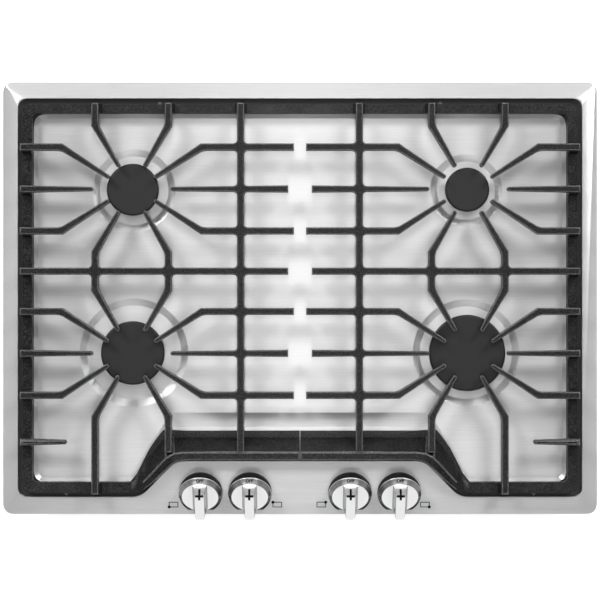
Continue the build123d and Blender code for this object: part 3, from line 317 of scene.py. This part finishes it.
# Grain: noise stretched along one direction, for brushed, cast or moulded skins.
grain, grain_in, grain_out = new_group(
    "grain",
    [("Vector", "NodeSocketVector", None), ("Stretch", "NodeSocketVector", (1, 1, 1)),
     ("Scale", "NodeSocketFloat", 500.0), ("Roughness", "NodeSocketFloat", 0.4),
     ("Roughness Spread", "NodeSocketFloat", 0.1)],
    [("Height", "NodeSocketFloat"), ("Roughness", "NodeSocketFloat")])
grain_stretch = grain.nodes.new("ShaderNodeVectorMath")
grain_stretch.operation = "MULTIPLY"
grain_noise = grain.nodes.new("ShaderNodeTexNoise")
grain_noise.inputs["Detail"].default_value = 3
grain_centre = grain.nodes.new("ShaderNodeMath")
grain_centre.operation = "SUBTRACT"
grain_centre.inputs[1].default_value = 0.5
grain_rough = grain.nodes.new("ShaderNodeMath")
grain_rough.operation = "MULTIPLY_ADD"
grain.links.new(grain_in.outputs["Vector"], grain_stretch.inputs[0])
grain.links.new(grain_in.outputs["Stretch"], grain_stretch.inputs[1])
grain.links.new(grain_stretch.outputs[0], grain_noise.inputs["Vector"])
grain.links.new(grain_in.outputs["Scale"], grain_noise.inputs["Scale"])
grain.links.new(grain_noise.outputs["Fac"], grain_centre.inputs[0])
grain.links.new(grain_centre.outputs[0], grain_rough.inputs[0])
grain.links.new(grain_in.outputs["Roughness Spread"], grain_rough.inputs[1])
grain.links.new(grain_in.outputs["Roughness"], grain_rough.inputs[2])
grain.links.new(grain_noise.outputs["Fac"], grain_out.inputs["Height"])
grain.links.new(grain_rough.outputs[0], grain_out.inputs["Roughness"])


def finish(name, colour, roughness, metallic=0.0, stretch=(1, 1, 1), scale=500.0, spread=0.1, bump=0.1,
           wear_and_sheen_colour=None, wear_and_sheen_amount=0.6, patch=60.0, fleck=None):
    """A material with a grain in its gloss and surface, flecks on the grain's peaks, and lighter bulging
    edges for wear, partly a painted highlight on the grate enamel.
    """
    material = bpy.data.materials.new(name)
    material.use_nodes = True
    tree = material.node_tree
    shader = tree.nodes["Principled BSDF"]
    shader.inputs["Metallic"].default_value = metallic
    place = tree.nodes.new("ShaderNodeTexCoord")
    skin = tree.nodes.new("ShaderNodeGroup")
    skin.node_tree = grain
    skin.inputs["Stretch"].default_value = stretch
    skin.inputs["Scale"].default_value = scale
    skin.inputs["Roughness"].default_value = roughness
    skin.inputs["Roughness Spread"].default_value = spread
    edges = tree.nodes.new("ShaderNodeGroup")
    edges.node_tree = wear_and_sheen_group
    edges.inputs["Amount"].default_value = wear_and_sheen_amount
    edges.inputs["Patch Scale"].default_value = patch
    paint = tree.nodes.new("ShaderNodeMix")
    paint.name = "paint"
    paint.data_type = "RGBA"
    paint.inputs["A"].default_value = (*colour, 1)
    paint.inputs["B"].default_value = (*(wear_and_sheen_colour or colour), 1)
    relief = tree.nodes.new("ShaderNodeBump")
    relief.inputs["Strength"].default_value = bump
    relief.inputs["Distance"].default_value = RELIEF_DEPTH
    tree.links.new(place.outputs["Object"], skin.inputs["Vector"])
    tree.links.new(place.outputs["Object"], edges.inputs["Vector"])
    tree.links.new(edges.outputs["Mask"], paint.inputs["Factor"])
    tree.links.new(paint.outputs["Result"], shader.inputs["Base Color"])
    tree.links.new(skin.outputs["Roughness"], shader.inputs["Roughness"])
    tree.links.new(skin.outputs["Height"], relief.inputs["Height"])
    tree.links.new(relief.outputs["Normal"], shader.inputs["Normal"])
    if fleck:
        peaks = tree.nodes.new("ShaderNodeMapRange")
        peaks.inputs["From Min"].default_value = PEAK_START
        peaks.inputs["From Max"].default_value = PEAK_FULL
        flecked = tree.nodes.new("ShaderNodeMix")
        flecked.data_type = "RGBA"
        flecked.inputs["A"].default_value = (*colour, 1)
        flecked.inputs["B"].default_value = (*fleck, 1)
        tree.links.new(skin.outputs["Height"], peaks.inputs["Value"])
        tree.links.new(peaks.outputs[0], flecked.inputs["Factor"])
        tree.links.new(flecked.outputs["Result"], paint.inputs["A"])
    return material


def lay_brush_map(solid):
    """A flat map seen from above, whose first direction runs across the brush strokes."""
    brush = solid.loops.layers.uv.new("brush")
    for face in solid.faces:
        for corner in face.loops:
            corner[brush].uv = (corner.vert.co.y, corner.vert.co.x)


brushed_steel = finish("brushed_steel", (0.62, 0.62, 0.625), 0.34, metallic=0.42, stretch=(1, 60, 60),
                       scale=22.0, spread=0.12, bump=0.25, wear_and_sheen_colour=(0.75, 0.75, 0.75), wear_and_sheen_amount=0.3,
                       fleck=(0.67, 0.67, 0.675))
steel_shader = brushed_steel.node_tree.nodes["Principled BSDF"]
steel_shader.inputs["Anisotropic"].default_value = 0.5
stroke = brushed_steel.node_tree.nodes.new("ShaderNodeTangent")
stroke.direction_type = "UV_MAP"
stroke.uv_map = "brush"
brushed_steel.node_tree.links.new(stroke.outputs[0], steel_shader.inputs["Tangent"])

sheet = merged_copy("cooktop_panel")

# The tray's two rear corners turn more tightly than a plain arc.
for vert in sheet.verts:
    reach = Vector((abs(vert.co.x) - TRAY_TURN_X, vert.co.y - TRAY_TURN_Y))
    if vert.co.z < TRAY_TURN_TOP and 0 < reach.x and 0 < reach.y and reach.length < TRAY_TURN_REACH:
        across, back = reach.normalized()
        square = (across ** TRAY_TURN_SHAPE + back ** TRAY_TURN_SHAPE) ** (-1 / TRAY_TURN_SHAPE)
        vert.co.x += (reach.x * (square - 1)) * (1 if vert.co.x > 0 else -1)
        vert.co.y += reach.y * (square - 1)


def under_wall(edge):
    """The fold at the foot of the wall that drops from the rim to the ledge."""
    at = middle(edge)
    return turn_at(edge) > WALL_TURN and at.z < 0 and (abs(at.x) > WALL_FOOT_X or at.y > WALL_FOOT_Y)


def in_tray(edge):
    """A fold of the tray's slopes, its wells or the step in front of the tray."""
    at = middle(edge)
    inside = abs(at.x) < TRAY_HALF_WIDTH and TRAY_FRONT < at.y < TRAY_REAR
    return inside and at.z < TRAY_HIGHEST and FOLD_TURN < turn_at(edge) < TRAY_STEEPEST


def in_mouth(edge):
    """An edge between the rim or the knob slope and the wall that drops to the tray."""
    at = middle(edge)
    inside = abs(at.x) < MOUTH_HALF_WIDTH and abs(at.y) < MOUTH_HALF_DEPTH
    return inside and at.z > MOUTH_LOWEST and turn_at(edge) > MOUTH_TURN


press_rounds = ((under_wall, WALL_FOLD, 4), (in_tray, TRAY_FOLD, 3), (in_mouth, MOUTH_ROLL, 4))
for is_fold, radius, segments in press_rounds:
    folds = [edge for edge in sheet.edges if len(edge.link_faces) == 2 and is_fold(edge)]
    round_edges(sheet, folds, radius, segments)
lay_brush_map(sheet)

# The ledge outside the grate rails lies in deep shadow, so its steel is painted near black: a painted
# shadow.
for face in sheet.faces:
    at = face.calc_center_median()
    outside = abs(at.x) > LEDGE_FROM_X or at.y > LEDGE_FROM_REAR or at.y < LEDGE_FROM_FRONT
    level = LEDGE_LOWEST < at.z < LEDGE_HIGHEST and face.normal.z > LEDGE_LEAST_RISE
    if level and (outside or at.z < LEDGE_FLOOR):
        face.material_index = 1
painted_shadow_steel = finish("painted_shadow_steel", (0.03, 0.03, 0.03), 0.5, metallic=0.3, scale=300.0)
panel = add_piece("panel", sheet, brushed_steel)
panel.data.materials.append(painted_shadow_steel)
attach(panel, "chassis")
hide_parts("cooktop_panel")

# ---------------------------------------------------------------------------
# The grates: two iron castings in matte black enamel, which lift off. Each
# stands on rubber feet in the tray.
# ---------------------------------------------------------------------------
CASTING_WELD = 0.0005
CASTING_SHARP = 34
CROSSING_FILLET = 0.0045
CROSSING_LOWEST = 0.028
UPRIGHT_SHARE = 0.9
CASTING_ROLL = 0.0015
TOP_LOWEST = 0.024
TOP_RISE = 0.7
SIDE_RISE = 0.35
CREST_RISE = (0.2, 0.8)
CREST_TURN = 15

# The black enamel's lighter edges are partly rubbed wear and partly a painted highlight along the bars.
black_enamel = finish("black_enamel", (0.001, 0.001, 0.001), 0.36, scale=620.0, spread=0.4, bump=1.0,
                      wear_and_sheen_colour=(0.12, 0.12, 0.12), wear_and_sheen_amount=0.3, fleck=(0.038, 0.038, 0.0385))
black_enamel.node_tree.nodes["Principled BSDF"].inputs["Specular IOR Level"].default_value = 0.2
# The rolled top edges of the bars and the apron's crests take a lighter enamel: a painted highlight where
# light catches them.
painted_highlight_enamel = finish("painted_highlight_enamel", (0.05, 0.05, 0.05), 0.36, scale=620.0, spread=0.4, bump=1.0,
                     wear_and_sheen_colour=(0.25, 0.25, 0.25), wear_and_sheen_amount=0.3, fleck=(0.16, 0.16, 0.16))


def upright(edge):
    """An edge that runs straight up."""
    along = edge.verts[1].co - edge.verts[0].co
    return abs(along.z) > UPRIGHT_SHARE * along.length


def on_top(edge):
    """An edge between the level or gently sloping top of a bar and its side, or a crest of the apron."""
    rises = sorted(face.normal.z for face in edge.link_faces)
    if len(rises) < 2 or middle(edge).z < TOP_LOWEST:
        return False
    crest = edge.is_convex and CREST_RISE[0] < rises[0] < CREST_RISE[1] and turn_at(edge) > CREST_TURN
    return crest or (rises[0] < SIDE_RISE and rises[1] > TOP_RISE)


for side in ("left", "right"):
    casting = merged_copy("grate_" + side)
    bmesh.ops.remove_doubles(casting, verts=casting.verts, dist=CASTING_WELD)
    crossings = [edge for edge in casting.edges
                 if not edge.is_convex and upright(edge) and middle(edge).z > CROSSING_LOWEST]
    round_edges(casting, crossings, CROSSING_FILLET)
    # The top edges are rolled, and the rolls take the lighter enamel as a painted highlight.
    tops = [edge for edge in casting.edges if on_top(edge)]
    round_edges(casting, tops, CASTING_ROLL, clamped=False, material=1)
    for edge in casting.edges:
        edge.smooth = len(edge.link_faces) == 2 and turn_at(edge) < CASTING_SHARP
    grate = add_piece("casting_" + side, casting, black_enamel)
    grate.data.materials.append(painted_highlight_enamel)
    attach(grate, "grate_" + side)
    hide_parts("grate_" + side)

# ---------------------------------------------------------------------------
# The burner caps: enamelled iron discs with a soft shoulder, loose on their
# heads.
# ---------------------------------------------------------------------------
SHOULDER = 0.0016
SHOULDER_REACH = 0.002
SHOULDER_TURN = 20
BURNERS = ("left_rear", "left_front", "right_rear", "right_front")

cap_enamel = finish("cap_enamel", (0.005, 0.005, 0.0055), 0.46, scale=900.0, spread=0.2, bump=0.35,
                    wear_and_sheen_colour=(0.06, 0.06, 0.06), wear_and_sheen_amount=0.4)
cap_enamel.node_tree.nodes["Principled BSDF"].inputs["Specular IOR Level"].default_value = 0.4

for burner in BURNERS:
    disc = merged_copy("burner_cap_" + burner)
    crown = max(vert.co.z for vert in disc.verts)
    shoulder = [edge for edge in disc.edges
                if middle(edge).z > crown - SHOULDER_REACH and turn_at(edge) > SHOULDER_TURN]
    round_edges(disc, shoulder, SHOULDER, 4)
    cap = add_piece("cap_" + burner, disc, cap_enamel)
    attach(cap, "cap_" + burner)
    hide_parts("burner_cap_" + burner)

# ---------------------------------------------------------------------------
# The knobs: satin metal, each a spun skirt with a sloping dial ring and a
# beaded face, and a grip that flares where it stands on the face. A knob is
# pressed on its valve's stem, turns with it and pushes in.
# ---------------------------------------------------------------------------
KNOB_PLACES = {"left_front": -0.127, "left_rear": -0.064, "right_rear": 0.064, "right_front": 0.127}
KNOB_BACK = -0.2495
KNOB_RISE = 0.0265
KNOB_TILT = radians(38)
SOCKET_RADIUS = 0.003
SOCKET_TOP = 0.003
HUB_RADIUS = 0.007
HUB_FOOT = -0.009
SKIRT_RADIUS = 0.0278
SKIRT_FOOT = -0.0016
FACE_RADIUS = 0.0226
FACE_HEIGHT = 0.0055
BEAD = 0.0005
SKIRT_STEPS = 72
SKIRT_PROFILE = [
    (0, SOCKET_TOP), (SOCKET_RADIUS, SOCKET_TOP), (SOCKET_RADIUS, HUB_FOOT), (HUB_RADIUS, HUB_FOOT),
    (HUB_RADIUS, SKIRT_FOOT), (SKIRT_RADIUS - BEAD, SKIRT_FOOT), (SKIRT_RADIUS, SKIRT_FOOT + BEAD),
    (SKIRT_RADIUS, -BEAD), (SKIRT_RADIUS - 0.4 * BEAD, 0), (SKIRT_RADIUS - 2 * BEAD, BEAD),
    (FACE_RADIUS + 1.4 * BEAD, FACE_HEIGHT - 1.2 * BEAD), (FACE_RADIUS + BEAD, FACE_HEIGHT),
    (FACE_RADIUS - 0.4 * BEAD, FACE_HEIGHT + 0.5 * BEAD), (FACE_RADIUS - 2 * BEAD, FACE_HEIGHT),
    (0, FACE_HEIGHT)]
GRIP_REAR = 0.019
GRIP_FRONT = -0.023
GRIP_TOP = 0.0245
GRIP_FOOT_ROUND = [(0.0006, 0.0011), (0.0052, 0.0011), (0.0058, 0.0006), (0.0068, 0.0002), (0.0085, 0.0)]
FOOT_HALF = 0.0086
TOP_HALF = 0.0059
REAR_ROLL = 0.003
FRONT_ROLL = 0.002
SIDE_ROLL = 0.0009
TOP_DROPS = (REAR_ROLL, 0.0022, 0.0014, 0.0009, 0.0006, 0.0003, 0.0001, 0)
FRONT_CORNER = 0.0048
REAR_CORNER = 0.0014
CORNER_STEPS = 6
SIDE_NORMAL_MOST = 0.7
INK = 0.00006
INK_ROOT = 0.0002
POINTER_HALF = 0.0014
POINTER_FOOT = 0.0108
POINTER_END = 0.0124
POINTER_TURNS = (0, 15, 30, 45, 60, 75, 90)
CROSS_LINE_HALF = 0.0052
CROSS_LINE_TURNS = (10, 30, 50, 70)
DIAL_MIDDLE = 0.5
DIAL_WORDS = (("OFF", 0, 0.0038), ("LITE", 82, 0.0031), ("HI", 106, 0.0031), ("LO", -98, 0.0031))
CAPITAL_SHARE = 0.7
STROKE_SHARE = 0.06
TICK_TURN = -47
TICK_SPAN = (0.2, 0.8)
TICK_HALF = 0.0002
WEDGE_START = 114
WEDGE_END = 250
WEDGE_STEPS = 40
WEDGE_THICK = 0.0011
WEDGE_THIN = 0.0002

satin_metal = finish("satin_metal", (0.90, 0.90, 0.905), 0.30, metallic=0.85, scale=600.0, spread=0.08,
                     bump=0.04, wear_and_sheen_colour=(0.9, 0.9, 0.9), wear_and_sheen_amount=0.4)
dial_metal = finish("dial_metal", (0.24, 0.24, 0.245), 0.30, metallic=0.95, scale=600.0, spread=0.08,
                    bump=0.05, wear_and_sheen_colour=(0.7, 0.7, 0.7), wear_and_sheen_amount=0.5)
# The grip's sides take a darker copy of the satin metal: painted shade.
painted_shade_grip_metal = finish("painted_shade_grip_metal", (0.30, 0.30, 0.305), 0.26, metallic=0.95, scale=600.0, spread=0.08,
                    bump=0.04, wear_and_sheen_colour=(0.8, 0.8, 0.8), wear_and_sheen_amount=0.4)
print_black = finish("print_black", (0.002, 0.002, 0.002), 0.6, scale=600.0, spread=0.05, bump=0.02)
print_black.node_tree.nodes["Principled BSDF"].inputs["Specular IOR Level"].default_value = 0.08


def seat(x):
    """Where a knob stands: its own z along its stem, its own y up the slope of its face."""
    return Matrix.Translation((x, KNOB_BACK, KNOB_RISE)) @ Matrix.Rotation(KNOB_TILT, 4, "X")


def spun(profile):
    """A closed solid turned from a profile of (radius, height) points."""
    solid = bmesh.new()
    points = [solid.verts.new((radius, 0, height)) for radius, height in profile]
    lines = [solid.edges.new(pair) for pair in zip(points, points[1:])]
    bmesh.ops.spin(solid, geom=points + lines, cent=(0, 0, 0), axis=(0, 0, 1), dvec=(0, 0, 0),
                   angle=radians(360), steps=SKIRT_STEPS, use_merge=True)
    bmesh.ops.remove_doubles(solid, verts=solid.verts, dist=SAME_POINT)
    bmesh.ops.recalc_face_normals(solid, faces=solid.faces)
    return solid


def lofted(solid, outlines):
    """Closed skin through outlines that have the same number of points; gives back its faces."""
    rings = []
    for outline in outlines:
        points = [solid.verts.new(point) for point in outline]
        rings.append([solid.edges.new(pair) for pair in zip(points, points[1:] + points[:1])])
    skin = []
    for low, high in zip(rings, rings[1:]):
        skin += bmesh.ops.bridge_loops(solid, edges=low + high)["faces"]
    for end in (rings[0], rings[-1]):
        skin += bmesh.ops.edgeloop_fill(solid, edges=end)["faces"]
    return skin


def rounded_outline(half, front, rear, front_round, rear_round, height):
    """Points round a rectangle whose front and rear corners have their own radii."""
    corners = ((half - rear_round, rear - rear_round, rear_round, 0),
               (rear_round - half, rear - rear_round, rear_round, 90),
               (front_round - half, front + front_round, front_round, 180),
               (half - front_round, front + front_round, front_round, 270))
    points = []
    for x, y, radius, start in corners:
        for step in range(CORNER_STEPS):
            turn = radians(start + 90 * step / (CORNER_STEPS - 1))
            points.append((x + radius * cos(turn), y + radius * sin(turn), height))
    return points


def roll_inset(height, radius):
    """How far a rolled top edge has drawn in at a height."""
    up = max(0.0, height - (GRIP_TOP - radius))
    return radius - max(0.0, radius * radius - up * up) ** 0.5


def grip_outline(height, flare):
    """One level outline of the grip."""
    half = FOOT_HALF + (TOP_HALF - FOOT_HALF) * (height - FACE_HEIGHT) / (GRIP_TOP - FACE_HEIGHT)
    half = half + flare - roll_inset(height, SIDE_ROLL)
    rear = GRIP_REAR + flare - roll_inset(height, REAR_ROLL)
    front = GRIP_FRONT - flare * 0.5 + roll_inset(height, FRONT_ROLL)
    return rounded_outline(half, front, rear, FRONT_CORNER * half / FOOT_HALF, REAR_CORNER, height)


def ribbon(solid, rows):
    """A thin closed strip through rows of (left point, right point, outward direction)."""
    outlines = []
    for left, right, out in rows:
        left, right, out = Vector(left), Vector(right), Vector(out).normalized()
        outlines.append([left + out * INK, left - out * INK_ROOT, right - out * INK_ROOT, right + out * INK])
    lofted(solid, outlines)


def roll_rows(half, turns):
    """Rows of a strip over the rolled edge between the grip's rear end and its top."""
    rows = []
    for turn in turns:
        y = GRIP_REAR - REAR_ROLL * (1 - cos(radians(turn)))
        z = GRIP_TOP - REAR_ROLL * (1 - sin(radians(turn)))
        rows.append(((-half, y, z), (half, y, z), (0, cos(radians(turn)), sin(radians(turn)))))
    return rows


def pointer_rows():
    """Rows of the black line that climbs the grip's rear end and turns over onto its top."""
    foot = ((-POINTER_HALF, GRIP_REAR, POINTER_FOOT), (POINTER_HALF, GRIP_REAR, POINTER_FOOT), (0, 1, 0))
    end = ((-POINTER_HALF, POINTER_END, GRIP_TOP), (POINTER_HALF, POINTER_END, GRIP_TOP), (0, 0, 1))
    return [foot, *roll_rows(POINTER_HALF, POINTER_TURNS), end]


def dial_frame(angle, along):
    """On the dial ring at a clockwise angle from the rear, some way up its slope: place and directions."""
    outward = Vector((sin(radians(angle)), cos(radians(angle)), 0))
    across = Vector((cos(radians(angle)), -sin(radians(angle)), 0))
    run, rise = SKIRT_RADIUS - FACE_RADIUS, FACE_HEIGHT
    slant = (run * run + rise * rise) ** 0.5
    down = (outward * run - Vector((0, 0, rise))) / slant
    out = (outward * rise + Vector((0, 0, run))) / slant
    place = outward * (SKIRT_RADIUS - run * along) + Vector((0, 0, rise * along))
    return place, across, down, out


def lettering(text, height, place, across, up, out):
    """A word as a thin mesh, centred on a place and standing on the given directions."""
    curve = bpy.data.curves.new(text, "FONT")
    curve.body = text
    curve.size = height / CAPITAL_SHARE
    curve.extrude = INK
    curve.offset = height * STROKE_SHARE
    curve.align_x = "CENTER"
    curve.align_y = "CENTER"
    holder = bpy.data.objects.new(text, curve)
    bpy.context.scene.collection.objects.link(holder)
    word = bpy.data.meshes.new_from_object(holder.evaluated_get(bpy.context.evaluated_depsgraph_get()))
    bpy.data.objects.remove(holder)
    turn = Matrix((across, up, out)).transposed().to_4x4()
    word.transform(Matrix.Translation(place) @ turn)
    return word


def tick_rows():
    """Rows of the short line across the dial ring."""
    rows = []
    for along in TICK_SPAN:
        place, across, down, out = dial_frame(TICK_TURN, along)
        rows.append((place - across * TICK_HALF, place + across * TICK_HALF, out))
    return rows


def wedge_rows():
    """Rows of the wedge that thins along the dial ring from the high flame to the low one."""
    rows = []
    for step in range(WEDGE_STEPS + 1):
        share = step / WEDGE_STEPS
        place, across, down, out = dial_frame(WEDGE_START + (WEDGE_END - WEDGE_START) * share, DIAL_MIDDLE)
        half = WEDGE_THICK + (WEDGE_THIN - WEDGE_THICK) * share
        rows.append((place - down * half, place + down * half, out))
    return rows


for knob, x in KNOB_PLACES.items():
    turned = spun(SKIRT_PROFILE)
    for face in turned.faces:
        at = face.calc_center_median()
        reach = Vector((at.x, at.y)).length
        if FACE_RADIUS + BEAD < reach < SKIRT_RADIUS - BEAD and at.z > 0:
            face.material_index = 1
    outlines = [grip_outline(height, flare) for height, flare in GRIP_FOOT_ROUND]
    outlines += [grip_outline(GRIP_TOP - drop, 0) for drop in TOP_DROPS]
    grip_faces = lofted(turned, outlines)
    bmesh.ops.recalc_face_normals(turned, faces=turned.faces)
    # Grip faces that face neither up nor to the rear take the darker metal, a painted shade on the grip's
    # sides and front.
    for face in grip_faces:
        if face.normal.z < SIDE_NORMAL_MOST and face.normal.y < SIDE_NORMAL_MOST:
            face.material_index = 3
    metal_faces = set(turned.faces)
    for rows in (pointer_rows(), roll_rows(CROSS_LINE_HALF, CROSS_LINE_TURNS), tick_rows(), wedge_rows()):
        ribbon(turned, rows)
    for text, angle, height in DIAL_WORDS:
        word = lettering(text, height, *dial_frame(angle, DIAL_MIDDLE))
        turned.from_mesh(word)
        bpy.data.meshes.remove(word)
    print_faces = [face for face in turned.faces if face not in metal_faces]
    for face in print_faces:
        face.material_index = 2
    bmesh.ops.recalc_face_normals(turned, faces=print_faces)
    bmesh.ops.transform(turned, matrix=seat(x), verts=turned.verts)
    handle = add_piece("handle_" + knob, turned, satin_metal)
    handle.data.materials.append(dial_metal)
    handle.data.materials.append(print_black)
    handle.data.materials.append(painted_shade_grip_metal)
    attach(handle, "knob_" + knob)
    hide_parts("knob_" + knob)

# ---------------------------------------------------------------------------
# The bezels: dark metal plinths under the knobs that flare where they meet
# the panel, each with a black index line printed behind the knob.
# ---------------------------------------------------------------------------
SLOPE_START_Y = -0.277
SLOPE_START_Z = 0.0025
SLOPE_RISE = 0.2455
BEZEL_TOP_SINK = 0.0046
BEZEL_ROLL = 0.0006
BEZEL_TURN = 20
# The bezel darkens from its foot colour to near black towards the knob: painted shade under the knob.
BEZEL_FOOT_COLOUR = (0.10, 0.10, 0.105, 1)
BEZEL_SHADE_COLOUR = (0.002, 0.002, 0.002, 1)
BEZEL_SHADE_FADE = 0.004
BEZEL_REAR_Y = -0.2189
BEZEL_REAR_LEAN = -0.2048
INDEX_HALF = 0.0006
INDEX_SPAN = (0.0163, 0.0383)

slope_out = Vector((0, -SLOPE_RISE, 1)).normalized()
slope_up = Vector((0, 1, SLOPE_RISE)).normalized()


def on_slope(x, y):
    """A point on the control slope."""
    return Vector((x, y, SLOPE_START_Z + (y - SLOPE_START_Y) * SLOPE_RISE))


bezel_metal = finish("bezel_metal", (0.012, 0.012, 0.013), 0.6, scale=500.0, spread=0.08, bump=0.04,
                     wear_and_sheen_colour=(0.10, 0.10, 0.10), wear_and_sheen_amount=0.3)
bezel_metal.node_tree.nodes["Principled BSDF"].inputs["Specular IOR Level"].default_value = 0.1
# Painted shade: the colour fades to near black within a few millimetres above the panel, towards the knob.
bezel_tree = bezel_metal.node_tree
bezel_place = bezel_tree.nodes.new("ShaderNodeTexCoord")
bezel_height = bezel_tree.nodes.new("ShaderNodeVectorMath")
bezel_height.operation = "DOT_PRODUCT"
bezel_height.inputs[1].default_value = slope_out
bezel_shade_ramp = bezel_tree.nodes.new("ShaderNodeMapRange")
bezel_shade_ramp.inputs["From Min"].default_value = on_slope(0, 0).dot(slope_out)
bezel_shade_ramp.inputs["From Max"].default_value = on_slope(0, 0).dot(slope_out) + BEZEL_SHADE_FADE
bezel_shade_mix = bezel_tree.nodes.new("ShaderNodeMix")
bezel_shade_mix.data_type = "RGBA"
bezel_shade_mix.inputs["A"].default_value = BEZEL_FOOT_COLOUR
bezel_shade_mix.inputs["B"].default_value = BEZEL_SHADE_COLOUR
bezel_tree.links.new(bezel_place.outputs["Object"], bezel_height.inputs[0])
bezel_tree.links.new(bezel_height.outputs["Value"], bezel_shade_ramp.inputs["Value"])
bezel_tree.links.new(bezel_shade_ramp.outputs[0], bezel_shade_mix.inputs["Factor"])
bezel_tree.links.new(bezel_shade_mix.outputs["Result"], bezel_tree.nodes["paint"].inputs["A"])

stem_out = Vector((0, -sin(KNOB_TILT), cos(KNOB_TILT)))
for knob, x in KNOB_PLACES.items():
    plinth = merged_copy("knob_bezel_" + knob)
    knob_seat = Vector((x, KNOB_BACK, KNOB_RISE))
    rims = [edge for edge in plinth.edges
            if turn_at(edge) > BEZEL_TURN and (middle(edge) - knob_seat).dot(stem_out) > -BEZEL_TOP_SINK]
    round_edges(plinth, rims, BEZEL_ROLL, 2)
    metal_faces = set(plinth.faces)
    rows = []
    for height in INDEX_SPAN:
        rear = BEZEL_REAR_Y + BEZEL_REAR_LEAN * height
        rows.append(((x - INDEX_HALF, rear, height), (x + INDEX_HALF, rear, height),
                     (0, 1, -BEZEL_REAR_LEAN)))
    ribbon(plinth, rows)
    print_faces = [face for face in plinth.faces if face not in metal_faces]
    for face in print_faces:
        face.material_index = 1
    bmesh.ops.recalc_face_normals(plinth, faces=print_faces)
    bezel = add_piece("bezel_" + knob, plinth, bezel_metal)
    bezel.data.materials.append(print_black)
    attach(bezel, "chassis")
    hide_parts("knob_bezel_" + knob)

# ---------------------------------------------------------------------------
# The prints on the panel: beside each knob, in black ink, a small picture
# of the four burners' places with the knob's own one marked by a dot.
# ---------------------------------------------------------------------------
PICTURES = {"left_front": (-0.1621, -1, -1), "left_rear": (-0.0291, -1, 1),
            "right_rear": (0.0273, 1, 1), "right_front": (0.1601, 1, -1)}
PICTURE_BACK = -0.2645
PICTURE_HALF = (0.0056, 0.0032)
PICTURE_LINE = 0.0005
DOT_RADIUS = 0.002
DOT_POINTS = 20
DOT_ROOT = -0.0001
DOT_TOP = 1.2 * INK

for knob, (x, side, back) in PICTURES.items():
    print_mesh = bmesh.new()
    centre = on_slope(x, PICTURE_BACK)
    right = Vector((PICTURE_HALF[0], 0, 0))
    up = slope_up * PICTURE_HALF[1]
    corners = [centre + right * a + up * b for a, b in ((-1, -1), (1, -1), (1, 1), (-1, 1))]
    for start, end in zip(corners, corners[1:] + corners[:1]):
        along = (end - start).normalized()
        across = along.cross(slope_out) * PICTURE_LINE
        first = start - along * PICTURE_LINE
        last = end + along * PICTURE_LINE
        ribbon(print_mesh, [(first - across, first + across, slope_out),
                            (last - across, last + across, slope_out)])
    dot = centre + right * side + up * back
    turns = [radians(360 * step / DOT_POINTS) for step in range(DOT_POINTS)]
    circle = [dot + (Vector((cos(turn), 0, 0)) + slope_up * sin(turn)) * DOT_RADIUS for turn in turns]
    lofted(print_mesh, [[point + slope_out * level for point in circle] for level in (DOT_ROOT, DOT_TOP)])
    bmesh.ops.recalc_face_normals(print_mesh, faces=print_mesh.faces)
    picture = add_piece("picture_" + knob, print_mesh, print_black)
    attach(picture, "chassis")

# ---------------------------------------------------------------------------
# The other pieces: box, burner bases and heads, valves, pipes, spark parts,
# seal, feet and fasteners keep their solids as they are. Each takes the
# finish of its material by its node's slot.
# ---------------------------------------------------------------------------
SLOT_FINISH = {
    "foam_seal": finish("foam", (0.05, 0.05, 0.05), 0.9, scale=1500.0, bump=0.5),
    "galvanised_box": finish("galvanised", (0.55, 0.57, 0.58), 0.45, metallic=0.9, scale=60.0, spread=0.25),
    "zinc_steel": finish("zinc", (0.12, 0.12, 0.125), 0.4, metallic=0.8, scale=800.0, wear_and_sheen_colour=(0.3, 0.3, 0.3)),
    "grate_rubber": finish("rubber", (0.02, 0.02, 0.02), 0.8, scale=1200.0),
    "burner_aluminium": finish("burner_casting", (0.62, 0.62, 0.62), 0.45, metallic=0.9, scale=700.0),
    "tube_aluminium": finish("tube", (0.7, 0.7, 0.7), 0.35, metallic=0.95, scale=300.0),
    "igniter_ceramic": finish("ceramic", (0.85, 0.84, 0.8), 0.3, scale=300.0),
    "brass": finish("brass", (0.75, 0.55, 0.25), 0.3, metallic=0.95, scale=400.0),
    "valve_casting": finish("valve", (0.55, 0.55, 0.56), 0.5, metallic=0.9, scale=500.0),
    "stem_steel": finish("stem", (0.6, 0.6, 0.6), 0.3, metallic=0.95, scale=500.0),
    "switch_plastic": finish("switch", (0.75, 0.75, 0.72), 0.45, scale=500.0),
    "pipe_steel": finish("pipe", (0.5, 0.5, 0.52), 0.35, metallic=0.9, scale=300.0),
    "regulator_casting": finish("regulator", (0.55, 0.55, 0.55), 0.5, metallic=0.8, scale=500.0),
    "module_plastic": finish("module", (0.04, 0.04, 0.04), 0.5, scale=500.0),
    "lead_insulation": finish("lead", (0.6, 0.6, 0.58), 0.5, scale=500.0),
    "gland_plastic": finish("gland", (0.03, 0.03, 0.03), 0.5, scale=500.0),
}
for node in nodes.values():
    look = SLOT_FINISH.get(node.data.materials[0].name.split(".")[0])
    if look:
        node.data.materials[0] = look
